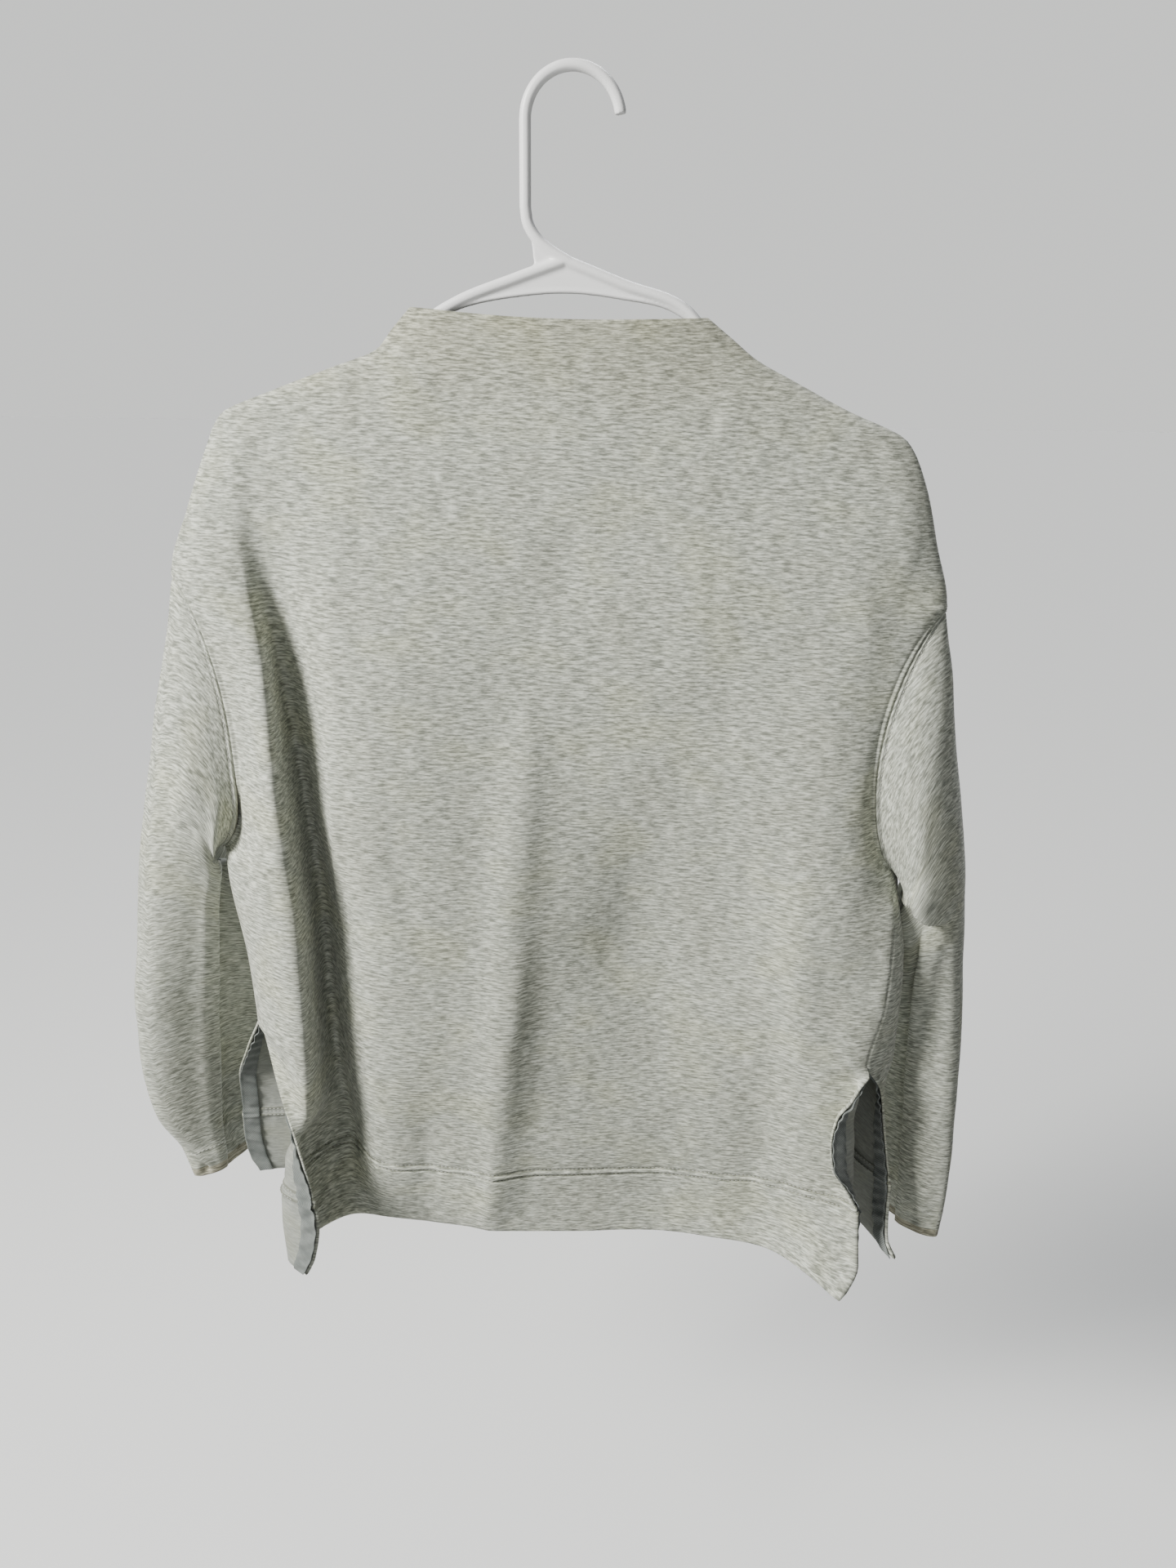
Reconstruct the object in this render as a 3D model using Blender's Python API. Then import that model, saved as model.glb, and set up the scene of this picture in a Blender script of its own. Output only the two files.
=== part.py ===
"""Mock neck sweatshirt hung on a tubular plastic hanger, in metres, +Z up.

The viewer stands on the -Y side and +X is the viewer's right.  The origin is the inside top of the
hanger's hook.  Every table below is in millimetres, one row per level, fold or ring of the garment.
"""
import math

import bmesh
import bpy
import numpy as np

MM = 0.001
CLOTH = 1.8  # double knit, one layer
HEM_LAYERS = 2.0  # the turned-up hem is two layers thick
HEM_DEPTH = 45.0
SEAM_GAP = 0.3
SLEEVE_GAP = 0.6
UNDERARM_GAP = 0.7  # added to the sleeve's gap towards the underarm
TAPE_GAP = 0.6
TAPE_WALL = 0.9
TAPE_INSET = 0.2  # share of a mesh cell by which the tape keeps off the cut edges
TUBE_RADIUS = 3.5  # hanger tube
WEB_WALL = 4.5

# Levels on the garment's middle line.
NECK_TOP = -125.0
NECK_FOOT = -148.5
SHOULDER_END = -210.5
ARMHOLE_TOP = -288.5
UNDERARM = -472.5
SLIT_TOP = -609.5
FRONT_HEM = -770.0
BACK_HEM = -762.0
HEM_LINE = FRONT_HEM + HEM_DEPTH

# Outline shared by both panels: level, left x, right x, how far one side is lower per mm of width.
OUTLINE = (
    (-125.0, -96.0, 81.5, 0.020),
    (-137.0, -107.0, 97.0, 0.016),
    (-148.5, -117.0, 112.0, 0.013),
    (-158.0, -140.0, 132.0, 0.016),
    (-174.0, -180.0, 167.0, 0.020),
    (-190.0, -213.0, 206.0, 0.024),
    (-210.5, -223.0, 219.0, 0.034),
    (-250.0, -239.0, 231.0, 0.032),
    (-288.5, -252.0, 241.0, 0.0305),
    (-472.5, -235.0, 222.0, 0.024),
    (-500.0, -233.0, 224.0, 0.028),
    (-560.0, -225.0, 222.0, 0.034),
    (-609.5, -222.0, 213.0, 0.0384),
    (-775.0, -222.0, 213.0, 0.0384),
)
# Side seam from the underarm to the slit: level, y on the left, y on the right.
SIDE_SEAM = (
    (-472.5, 0.0, -1.0),
    (-500.0, 1.0, -20.0),
    (-560.0, 0.0, -29.0),
    (-609.5, 0.0, -30.0),
)
# Angle by which a panel turns inwards at its seams: straight back from one panel to the other, less
# round the armhole, and along the side seam by as much as the right one stands forward.
SEAM_TURN = 90.0
ARMHOLE_TURN = 75.0
SIDE_TURN = 65.0
# Free edges of the slits: level, x, y and the angle by which the cloth turns inwards from there,
# 0 straight across, 90 towards the outside, -90 towards the inside, -180 curled over the cloth.
FRONT_SLIT_LEFT = (
    (-609.5, -222.0, 0.0, 90.0),
    (-624.0, -214.0, -14.0, 40.0),
    (-648.0, -203.0, -31.0, 0.0),
    (-662.0, -196.0, -39.0, -40.0),
    (-677.0, -189.0, -46.0, -80.0),
    (-692.0, -183.0, -52.0, -120.0),
    (-707.0, -178.0, -58.0, -155.0),
    (-735.0, -171.0, -68.0, -160.0),
    (-757.0, -174.0, -72.0, -155.0),
    (-770.0, -179.0, -74.0, -145.0),
)
FRONT_SLIT_RIGHT = (
    (-609.5, 213.0, -30.0, 25.0),
    (-614.0, 214.0, -33.5, -15.0),
    (-620.0, 207.5, -37.5, -60.0),
    (-630.0, 198.5, -44.0, -110.0),
    (-641.0, 190.0, -46.0, -116.0),
    (-657.0, 187.0, -48.0, -150.0),
    (-682.0, 190.0, -48.0, -152.0),
    (-700.0, 200.0, -46.0, -125.0),
    (-716.0, 209.0, -44.0, -80.0),
    (-732.0, 212.0, -45.0, -45.0),
    (-755.0, 213.0, -54.0, -30.0),
    (-770.0, 200.0, -68.0, -40.0),
)
BACK_SLIT_LEFT = (
    (-609.5, -222.0, 0.0, 90.0),
    (-645.0, -238.0, 13.0, 50.0),
    (-680.0, -249.0, 27.0, 15.0),
    (-725.0, -249.0, 30.0, 5.0),
    (-750.0, -246.0, 30.0, 5.0),
    (-762.0, -240.0, 28.0, 10.0),
)
BACK_SLIT_RIGHT = (
    (-609.5, 213.0, -30.0, 155.0),
    (-632.0, 228.0, -25.0, 130.0),
    (-662.0, 234.0, -22.0, 110.0),
    (-697.0, 240.0, -22.0, 105.0),
    (-720.0, 244.0, -22.0, 100.0),
    (-737.0, 243.0, -28.0, 95.0),
    (-755.0, 242.0, -38.0, 95.0),
    (-762.0, 246.0, -47.0, 85.0),
)
# Plan sections of the front panel: level, then x and y of the pleat's ridge, the pleat's valley,
# the pressed crease beside it, the centre crease, the right half, the right roll and the lip that
# curls over beside the right slit.
FRONT_SECTIONS = (
    (-125, -86, -7.5, -74, -10, -54, -12, -8, -13, 38, -12, 66, -8.5, 75, -5.5),
    (-148.5, -104, -8.5, -90, -11, -66, -14, -10, -15.5, 46, -14, 92, -9.5, 103, -7),
    (-170, -155, -8.5, -134, -11, -100, -14, -15, -16, 70, -15, 136, -9.5, 149, -7.5),
    (-190, -196, -8.5, -172, -11.5, -135, -14.5, -18, -17, 80, -16, 176, -10, 194, -7.5),
    (-210.5, -206, -10.5, -186, -12, -145, -16, -20, -18, 85, -17, 188, -12, 208, -9),
    (-250, -208, -14.5, -194, -12.5, -149, -19, -22, -19, 85, -18.5, 192, -16, 217, -11),
    (-300, -199, -22, -191, -9, -151, -22.5, -24, -21, 80, -20, 184, -20, 205, -17),
    (-345, -192, -29, -187, -3, -153, -25, -24, -22, 78, -21, 176, -24, 196, -20),
    (-430, -189, -35, -180, 3, -153, -27, -24, -24, 75, -22, 174, -28, 192, -24),
    (-472.5, -185, -37, -177, 5, -148, -27, -27, -24, 76, -22.5, 180, -31, 204, -23),
    (-515, -181, -39, -174, 7, -143, -27, -30, -25, 80, -23, 184, -34, 210, -29),
    (-600, -181, -40, -172, 7, -144, -26, -38, -25, 85, -23, 180, -36, 204, -33),
    (-612, -181, -40, -171.5, 7, -143.5, -25.5, -39.5, -25, 86, -23, 179, -36, 204.5, -32.5),
    (-630, -181.5, -39.5, -171, 6.5, -143, -25, -41.5, -24.5, 87, -22.5, 178, -36, 207, -33.5),
    (-650, -182, -38.5, -170, 6, -142, -24, -44, -24, 88, -22, 176, -35, 204.5, -34),
    (-664, -182.5, -35, -169, 6, -141, -23, -46, -23.5, 88, -22.5, 175, -35.5, 206, -36),
    (-680, -187, -33, -167.5, 5.5, -140, -22, -48, -22.5, 88, -23, 174, -36, 207, -36.5),
    (-700, -198, -38, -166, 5, -139, -20, -50, -22, 88, -23, 172, -37, 208, -37),
    (-735, -198, -51, -164, 4, -137, -18, -54, -21, 82, -23, 164, -41, 200, -42),
    (-770, -194, -60, -162, 4, -130, -13, -57, -21, 75, -21, 150, -44, 182, -56),
)
# Plan sections of the back panel: level, then x and y of the left roll, left half, middle, right
# half, right roll and the outermost point on the right.
BACK_SECTIONS = (
    (-125, -84, 8, -54, 12.5, -6, 14, 42, 12.5, 68, 8.5, 76, 5.5),
    (-148.5, -103, 9, -64, 14.5, -6, 16, 56, 14.5, 96, 9.5, 105, 7),
    (-170, -154, 9, -92, 15, -6, 17, 82, 15, 142, 9.5, 155, 7),
    (-190, -196, 9, -120, 15.5, -6, 18, 110, 15.5, 186, 9.5, 198, 7),
    (-210.5, -206, 10.5, -128, 17, -6, 19, 116, 17, 200, 11, 211, 8),
    (-250, -214, 15, -131, 20, -5, 21, 120, 20, 206, 15, 221, 9),
    (-300, -206, 20, -132, 23, 0, 22, 120, 23, 190, 20, 205, 18.5),
    (-385, -196, 24, -132, 27, 0, 25, 120, 27, 176, 24, 190, 21),
    (-440, -200, 25, -132, 28, 0, 27, 122, 28, 188, 26, 202, 21),
    (-472.5, -208, 24, -133, 29, 0, 28, 122, 29, 200, 26, 216, 15),
    (-500, -210, 25, -134, 30, 0, 29, 123, 30, 210, 26, 230, 8),
    (-530, -211, 25, -134, 31, 0, 29, 124, 31, 217, 24, 237, 0),
    (-609.5, -211, 26, -136, 33, 0, 30, 126, 33, 222, 22, 239, -4),
    (-662, -226, 33, -138, 35, 0, 31, 128, 34, 220, 24, 236, 0),
    (-762, -222, 33, -140, 36, 0, 32, 130, 35, 218, 24, 236, -2),
)
# Soft folds: x and level of the upper end, x and level of the lower end, half width, height.
# A positive height stands out towards the outside of the garment.
FOLD_START = 110.0  # length over which a fold comes in
FOLD_END = 60.0
FOLD_MARGIN = 0.12  # share of the width beside each edge where the folds fade out
FRONT_FOLDS = (
    (-24.0, -330.0, -57.0, -790.0, 15.0, 5.0),
    (56.0, -400.0, 34.0, -590.0, 26.0, -4.5),
    (122.0, -540.0, 106.0, -790.0, 21.0, -7.0),
    (-96.0, -600.0, -104.0, -790.0, 16.0, -4.0),
    (150.0, -430.0, 166.0, -640.0, 16.0, 4.5),
)
BACK_FOLDS = (
    (-150.0, -300.0, -165.0, -790.0, 14.0, -9.0),
    (-60.0, -420.0, -84.0, -790.0, 22.0, 7.0),
    (24.0, -330.0, 30.0, -790.0, 18.0, -6.0),
    (104.0, -480.0, 88.0, -790.0, 20.0, 8.0),
    (168.0, -360.0, 176.0, -700.0, 15.0, -6.0),
)
# The neck's edge dips in the middle, and the front's right corner hangs lower than the hem.
NECK_DIP = 4.5
CORNER_TOP = -700.0
CORNER_START = 150.0
CORNER_WIDTH = 50.0
CORNER_FALL = 8.0
# Armholes: x and z of the top point, x and z of the underarm, half depth, bow of the seam along X.
ARMHOLE_LEFT = (-252.0, -280.8, -235.0, -466.9, 17.0, 23.0)
ARMHOLE_RIGHT = (241.0, -295.9, 222.0, -477.8, 17.0, -27.0)
BOW_SHAPE = 1.6
# Sleeve rings from the armhole to the cuff: x and z of the outer point, x and z of the inner point,
# y of the middle, half depth, bow that is left, turn about the vertical in degrees, groove depth.
SLEEVE_LEFT = (
    (-252.0, -280.8, -235.0, -466.9, 0.0, 17.0, 1.00, 0.0, 0.0),
    (-256.0, -301.0, -243.0, -471.5, 0.0, 20.0, 0.80, 0.0, 0.0),
    (-263.0, -332.0, -245.0, -484.0, 1.0, 24.0, 0.55, 2.0, 1.0),
    (-272.0, -368.0, -247.0, -494.0, 3.0, 27.0, 0.35, 7.0, 3.0),
    (-285.0, -422.0, -246.5, -509.0, 8.0, 28.0, 0.15, 15.0, 8.0),
    (-299.0, -482.0, -243.0, -535.0, 14.5, 27.0, 0.0, 24.0, 13.0),
    (-309.0, -540.0, -238.0, -572.0, 21.0, 25.0, 0.0, 32.0, 14.0),
    (-320.0, -598.0, -235.0, -612.0, 27.0, 22.0, 0.0, 38.0, 13.0),
    (-323.0, -648.0, -232.0, -652.0, 31.0, 20.0, 0.0, 41.0, 12.0),
    (-319.0, -690.0, -231.0, -694.0, 34.0, 18.0, 0.0, 45.0, 11.0),
    (-305.0, -722.0, -237.0, -726.0, 36.0, 15.0, 0.0, 51.0, 8.0),
    (-299.0, -744.0, -236.0, -750.0, 37.0, 13.0, 0.0, 55.0, 5.0),
)
SLEEVE_RIGHT = (
    (241.0, -295.9, 222.0, -477.8, 0.0, 17.0, 1.00, 0.0, 0.0),
    (244.0, -313.0, 232.0, -487.0, -1.0, 22.0, 0.80, 0.0, 0.0),
    (250.0, -342.0, 240.0, -496.0, -1.0, 27.0, 0.55, -4.0, 0.0),
    (256.0, -378.0, 246.0, -505.0, 1.0, 30.0, 0.35, -8.0, 0.0),
    (267.0, -430.0, 246.5, -523.0, 5.0, 31.0, 0.15, -15.0, 0.0),
    (278.0, -486.0, 246.5, -547.0, 12.0, 29.0, 0.0, -25.0, 2.0),
    (285.0, -546.0, 245.0, -583.0, 19.0, 26.0, 0.0, -35.0, 5.0),
    (294.0, -606.0, 241.0, -622.0, 26.0, 22.0, 0.0, -44.0, 7.0),
    (300.0, -660.0, 235.0, -664.0, 30.0, 19.0, 0.0, -50.0, 8.0),
    (305.0, -712.0, 231.0, -712.0, 32.0, 17.0, 0.0, -54.0, 7.0),
    (307.0, -752.0, 229.0, -752.0, 33.0, 16.0, 0.0, -58.0, 6.0),
    (306.0, -786.0, 230.0, -788.0, 34.0, 15.0, 0.0, -60.0, 4.0),
)
GROOVE_ANGLE = 92.0  # degrees round from the outer point to the long crease
GROOVE_WIDTH = 15.0
# Folds across a sleeve: ring and degrees round at one end, the same at the other, half width in
# rings, height.
FOLDS_LEFT = (
    (0.9, 150.0, 3.4, 70.0, 0.80, 4.0),
    (3.4, 250.0, 6.2, 300.0, 0.90, 4.0),
)
FOLDS_RIGHT = (
    (0.8, 158.0, 4.3, 66.0, 1.00, 4.0),
    (3.2, 240.0, 6.0, 296.0, 0.90, 4.0),
)
SEAM_FADE = 0.8  # rings over which the folds start below the armhole
CUFF_TILT_LEFT = 16.0  # the near side of the left cuff stands this much higher than its middle
CUFF_TILT_RIGHT = 3.0
CUFF_RINGS = 3.0  # rings over which the tilt comes in

# Mesh density: rows between the levels and columns between the section's points.
ARMHOLE_STEPS = 12
EDGE_BANDS = (0.0, 5.0, 10.5, 16.0)  # columns beside a panel's edges, also the width of its tape
ROW_STEPS = ((FRONT_HEM, 3), (HEM_LINE - 1.0, 1), (HEM_LINE + 1.0, 4), (-650.0, 4), (SLIT_TOP, 7),
             (UNDERARM, 0), (ARMHOLE_TOP, 4), (SHOULDER_END, 2), (-190.0, 3), (NECK_FOOT, 2), (NECK_TOP, 0))
FRONT_COLUMNS = (6, 5, 4, 5, 4, 4, 3, 6)
BACK_COLUMNS = (4, 3, 4, 4, 3, 2, 4)
SLEEVE_STEPS = 19

# Hanger: x and z of the tube's middle line.
HOOK_RADIUS = 27.0
HOOK_CENTRE = (0.0, TUBE_RADIUS - HOOK_RADIUS)
HOOK_END = 6.0  # degrees above the level where the hook's tip ends
STEM = ((-27.0, -69.0), (-25.6, -77.0), (-20.5, -85.0), (-12.0, -91.5), (-2.0, -97.0))
FRAME_LEFT = ((-4.0, -96.5), (-34.0, -107.0), (-70.0, -121.0), (-82.0, -128.0), (-96.0, -141.5),
              (-109.0, -151.0), (-130.0, -159.5), (-170.0, -175.5), (-200.0, -187.5),
              (-206.5, -192.0), (-208.5, -199.0), (-204.5, -206.0), (-196.0, -209.5))
FRAME_RIGHT = ((-4.0, -96.5), (30.0, -109.0), (69.0, -123.6), (78.0, -133.0), (90.0, -145.5),
               (104.0, -155.5), (126.0, -165.5), (164.0, -183.0), (192.0, -196.0),
               (198.5, -201.0), (200.5, -208.0), (196.5, -215.0), (188.0, -218.5))
WEB = ((-4.0, -95.0), (-34.0, -106.0), (-60.0, -116.0), (-55.0, -119.5), (-30.0, -115.0),
       (0.0, -113.5), (26.0, -115.0), (48.0, -119.5), (56.0, -118.0), (28.0, -107.0))


def fresh_scene(name):
    """Empty the file and return the object's collection."""
    for item in list(bpy.data.objects):
        bpy.data.objects.remove(item, do_unlink=True)
    main = bpy.data.collections.new(name)
    bpy.context.scene.collection.children.link(main)
    return main


def material(name, colour, roughness):
    """A plain Principled material."""
    made = bpy.data.materials.new(name)
    made.use_nodes = True
    shader = made.node_tree.nodes["Principled BSDF"]
    shader.inputs["Base Color"].default_value = (*colour, 1.0)
    shader.inputs["Roughness"].default_value = roughness
    return made


def smooth_curve(places, values, at):
    """Values at new places on a curve that passes the given ones and never overshoots them."""
    order = np.argsort(places)
    x = np.asarray(places, float)[order]
    y = np.asarray(values, float)[order]
    step = np.diff(x)
    slope = np.diff(y) / step
    tangent = np.zeros_like(y)
    tangent[0] = slope[0]
    tangent[-1] = slope[-1]
    for i in range(1, len(y) - 1):
        if slope[i - 1] * slope[i] > 0.0:
            before = 2.0 * step[i] + step[i - 1]
            after = step[i] + 2.0 * step[i - 1]
            tangent[i] = (before + after) / (before / slope[i - 1] + after / slope[i])
    at = np.clip(np.asarray(at, float), x[0], x[-1])
    part = np.clip(np.searchsorted(x, at, side="right") - 1, 0, len(step) - 1)
    t = (at - x[part]) / step[part]
    start = (1.0 + 2.0 * t) * (1.0 - t) ** 2 * y[part]
    start = start + t * (1.0 - t) ** 2 * step[part] * tangent[part]
    end = t * t * (3.0 - 2.0 * t) * y[part + 1]
    return start + end + t * t * (t - 1.0) * step[part] * tangent[part + 1]


def lookup(table, column, level):
    """One column of a table at a level."""
    return smooth_curve([row[0] for row in table], [row[column] for row in table], level)


def armhole_point(armhole, angle):
    """Point on half an armhole's seam; angle 0 is the top, 180 degrees the underarm."""
    top_x, top_z, low_x, low_z, depth, bow = armhole
    share = 0.5 + 0.5 * math.cos(angle)
    x = low_x + (top_x - low_x) * share + bow * math.sin(angle) ** BOW_SHAPE
    return x, depth * math.sin(angle), low_z + (top_z - low_z) * share


def row_levels():
    """Levels of the panels' rows from the hem up; the armhole's rows are even in angle."""
    levels = []
    for (low, steps), (high, _) in zip(ROW_STEPS, ROW_STEPS[1:]):
        if steps:
            levels += [low + (high - low) * i / steps for i in range(steps)]
        else:
            for i in range(ARMHOLE_STEPS):
                share = 0.5 - 0.5 * math.cos(math.pi * i / ARMHOLE_STEPS)
                levels.append(low + (high - low) * share)
    return levels + [NECK_TOP]


def edge(level, left, slit, armhole, front):
    """Edge of a panel at a level: x, y and the angle by which the cloth turns inwards there."""
    if level < SLIT_TOP:
        return tuple(float(lookup(slit, column, level)) for column in (1, 2, 3))
    if UNDERARM < level < ARMHOLE_TOP:
        share = (level - UNDERARM) / (ARMHOLE_TOP - UNDERARM)
        angle = math.acos(2.0 * share - 1.0)
        x, y, _ = armhole_point(armhole, angle)
        return x, -y if front else y, SEAM_TURN - ARMHOLE_TURN * math.sin(angle)
    side = 1 if left else 2
    x = float(lookup(OUTLINE, side, level))
    if level >= ARMHOLE_TOP:
        return x, 0.0, SEAM_TURN
    y = float(lookup(SIDE_SEAM, side, level))
    turned = SIDE_TURN * y / SIDE_SEAM[-1][2]
    return x, y, SEAM_TURN - turned if front else SEAM_TURN + turned


def way_in(turn, inward, out):
    """Plan direction in which a panel runs in from its edge."""
    angle = math.radians(turn)
    return np.array((inward * math.cos(angle), out * math.sin(angle)))


def section_curve(points, first_turn, last_turn, front, counts):
    """Plan curve through a section's points, sampled with a number of steps in every part."""
    p = np.asarray(points, float)
    chord = np.sqrt(((p[1:] - p[:-1]) ** 2).sum(1))
    knot = np.concatenate(([0.0], np.cumsum(np.maximum(chord, 0.5) ** 0.7)))
    tangent = np.zeros_like(p)
    for i in range(1, len(p) - 1):
        before = (p[i] - p[i - 1]) / (knot[i] - knot[i - 1])
        after = (p[i + 1] - p[i]) / (knot[i + 1] - knot[i])
        share = (knot[i] - knot[i - 1]) / (knot[i + 1] - knot[i - 1])
        tangent[i] = before * (1.0 - share) + after * share
    out = -1.0 if front else 1.0
    for end, turn, inward in ((0, first_turn, 1.0), (len(p) - 1, last_turn, -1.0)):
        near = 0 if end == 0 else len(p) - 2
        span = knot[near + 1] - knot[near]
        speed = chord[near] / span
        tangent[end] = way_in(turn, inward, out) * speed * inward
    t = np.linspace(0.0, 1.0, 41)[:, None]
    curve = [p[:1]]
    for i, (count, before, after) in enumerate(zip(counts, tangent, tangent[1:])):
        span = knot[i + 1] - knot[i]
        part = ((1.0 + 2.0 * t) * (1.0 - t) ** 2 * p[i] + t * (1.0 - t) ** 2 * span * before
                + t * t * (3.0 - 2.0 * t) * p[i + 1] + t * t * (t - 1.0) * span * after)
        length = np.concatenate(([0.0], np.cumsum(np.linalg.norm(np.diff(part, axis=0), axis=1))))
        at = np.linspace(0.0, length[-1], count + 1)
        bands = np.array(EDGE_BANDS) * min(1.0, 0.6 * length[-1] / EDGE_BANDS[-1])
        if i == 0:
            rest = np.linspace(bands[-1], length[-1], count - len(bands) + 2)
            at = np.concatenate((bands[:-1], rest))
        if i == len(counts) - 1:
            rest = np.linspace(0.0, length[-1] - bands[-1], count - len(bands) + 2)
            at = np.concatenate((rest, length[-1] - bands[-2::-1]))
        curve.append(np.stack([np.interp(at[1:], length, part[:, k]) for k in (0, 1)], 1))
    return np.concatenate(curve)


def fold_height(folds, x, level):
    """Height that the soft folds add at a place."""
    total = np.zeros_like(x)
    for top_x, top, low_x, low, half_width, height in folds:
        share = np.clip((top - level) / (top - low), 0.0, 1.0)
        middle = top_x + (low_x - top_x) * share
        fade = np.clip((top - level) / FOLD_START, 0.0, 1.0)
        fade *= np.clip((level - low) / FOLD_END, 0.0, 1.0)
        fade = fade * fade * (3.0 - 2.0 * fade)
        total += height * fade * np.exp(-((x - middle) / half_width) ** 2)
    return total


def panel_skin(front, levels, counts):
    """Outer skin of a panel: one row of points per level, from the left edge to the right one."""
    sections = FRONT_SECTIONS if front else BACK_SECTIONS
    folds = FRONT_FOLDS if front else BACK_FOLDS
    slits = (FRONT_SLIT_LEFT, FRONT_SLIT_RIGHT) if front else (BACK_SLIT_LEFT, BACK_SLIT_RIGHT)
    out = -1.0 if front else 1.0
    rows = []
    for level in levels:
        left = edge(level, True, slits[0], ARMHOLE_LEFT, front)
        right = edge(level, False, slits[1], ARMHOLE_RIGHT, front)
        inner = [float(lookup(sections, i, level)) for i in range(1, len(sections[0]))]
        points = [left[:2]] + list(zip(inner[0::2], inner[1::2])) + [right[:2]]
        plan = section_curve(points, left[2], right[2], front, counts)
        x, y = plan[:, 0], plan[:, 1]
        width = right[0] - left[0]
        inside = np.clip(np.minimum(x - left[0], right[0] - x) / (FOLD_MARGIN * width), 0.0, 1.0)
        y = y + out * fold_height(folds, x, level) * inside
        z = level - x * float(lookup(OUTLINE, 3, level))
        rise = max(0.0, (level - NECK_FOOT) / (NECK_TOP - NECK_FOOT))
        middle = 1.0 - ((x - 0.5 * (left[0] + right[0])) / (0.5 * width)) ** 2
        z = z - NECK_DIP * rise * np.clip(middle, 0.0, 1.0)
        if front:
            fall = max(0.0, (CORNER_TOP - level) / (CORNER_TOP - FRONT_HEM))
            corner = np.clip((x - CORNER_START) / CORNER_WIDTH, 0.0, 1.0)
            z = z - CORNER_FALL * corner * corner * fall
        rows.append(np.stack((x, y, z), 1))
    return np.array(rows)


def normals(grid, flip, closed=False):
    """Normals of a grid of points."""
    if closed:
        across = np.roll(grid, -1, 1) - np.roll(grid, 1, 1)
    else:
        across = np.gradient(grid, axis=1)
    up = np.gradient(grid, axis=0)
    cross = np.cross(across, up)
    return flip * cross / np.linalg.norm(cross, axis=2, keepdims=True)


def edge_normals(grid, towards, levels, front):
    """Normals along a seam, common to the two panels that meet there."""
    out = -1.0 if front else 1.0
    slits = (FRONT_SLIT_LEFT, FRONT_SLIT_RIGHT) if front else (BACK_SLIT_LEFT, BACK_SLIT_RIGHT)
    for column, left, slit, armhole in ((0, True, slits[0], ARMHOLE_LEFT),
                                        (-1, False, slits[1], ARMHOLE_RIGHT)):
        line = np.gradient(grid[:, column], axis=0)
        for row, level in enumerate(levels):
            turn = edge(level, left, slit, armhole, front)[2]
            way = way_in(turn, 1.0 if left else -1.0, out)
            cross = np.cross(line[row], (way[0], way[1], 0.0))
            cross /= np.linalg.norm(cross)
            towards[row, column] = cross if cross @ towards[row, column] > 0.0 else -cross
    return towards


def draw_back(grid, gap):
    """Draw the left and right edges of a panel back from the seam, within the cloth."""
    grid = grid.copy()
    for edge_column, next_column in ((0, 1), (-1, -2)):
        line = np.gradient(grid[:, edge_column], axis=0)
        line /= np.linalg.norm(line, axis=1, keepdims=True)
        way = grid[:, next_column] - grid[:, edge_column]
        way = way - (way * line).sum(1, keepdims=True) * line
        way /= np.linalg.norm(way, axis=1, keepdims=True)
        grid[:, edge_column] += way * gap
    return grid


def wall_mesh(name, outer, inner, closed, collection, look):
    """Closed wall between two skins; a closed ring of columns makes a sleeve, an open one a panel."""
    rows, columns = outer.shape[:2]
    build = bmesh.new()
    skins = []
    for skin in (outer, inner):
        skins.append([[build.verts.new(point * MM) for point in row] for row in skin])
    spans = columns if closed else columns - 1
    for r in range(rows - 1):
        for c in range(spans):
            n = (c + 1) % columns
            for skin in skins:
                build.faces.new((skin[r][c], skin[r][n], skin[r + 1][n]))
                build.faces.new((skin[r][c], skin[r + 1][n], skin[r + 1][c]))
    for r in (0, rows - 1):
        for c in range(spans):
            n = (c + 1) % columns
            build.faces.new((skins[0][r][c], skins[0][r][n], skins[1][r][n], skins[1][r][c]))
    if not closed:
        for c in (0, columns - 1):
            for r in range(rows - 1):
                build.faces.new((skins[0][r][c], skins[0][r + 1][c],
                                 skins[1][r + 1][c], skins[1][r][c]))
    bmesh.ops.recalc_face_normals(build, faces=build.faces)
    mesh = bpy.data.meshes.new(name)
    build.to_mesh(mesh)
    build.free()
    made = bpy.data.objects.new(name, mesh)
    made.data.materials.append(look)
    collection.objects.link(made)
    return made


def panel_skins(front, levels, counts):
    """Outer and inner skin of a panel; the turned-up hem is thicker on the inside."""
    outer = draw_back(panel_skin(front, levels, counts), 0.5 * SEAM_GAP)
    towards = normals(outer, 1.0 if front else -1.0)
    towards = edge_normals(outer, towards, levels, front)
    layers = np.array([HEM_LAYERS if level < levels[0] + HEM_DEPTH else 1.0 for level in levels])
    inner = outer - towards * (CLOTH * layers)[:, None, None]
    return outer, inner


def ring_fold(folds, station, angle):
    """Height that the folds across a sleeve add round one ring."""
    total = np.zeros_like(angle)
    for ring_a, turn_a, ring_b, turn_b, half_width, height in folds:
        share = (np.degrees(angle) - turn_a) / (turn_b - turn_a)
        middle = ring_a + (ring_b - ring_a) * share
        ends = np.clip(4.0 * share + 0.6, 0.0, 1.0) * np.clip(4.6 - 4.0 * share, 0.0, 1.0)
        start = min(1.0, station / SEAM_FADE)
        total += height * ends * start * np.exp(-((station - middle) / half_width) ** 2)
    return total


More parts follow.
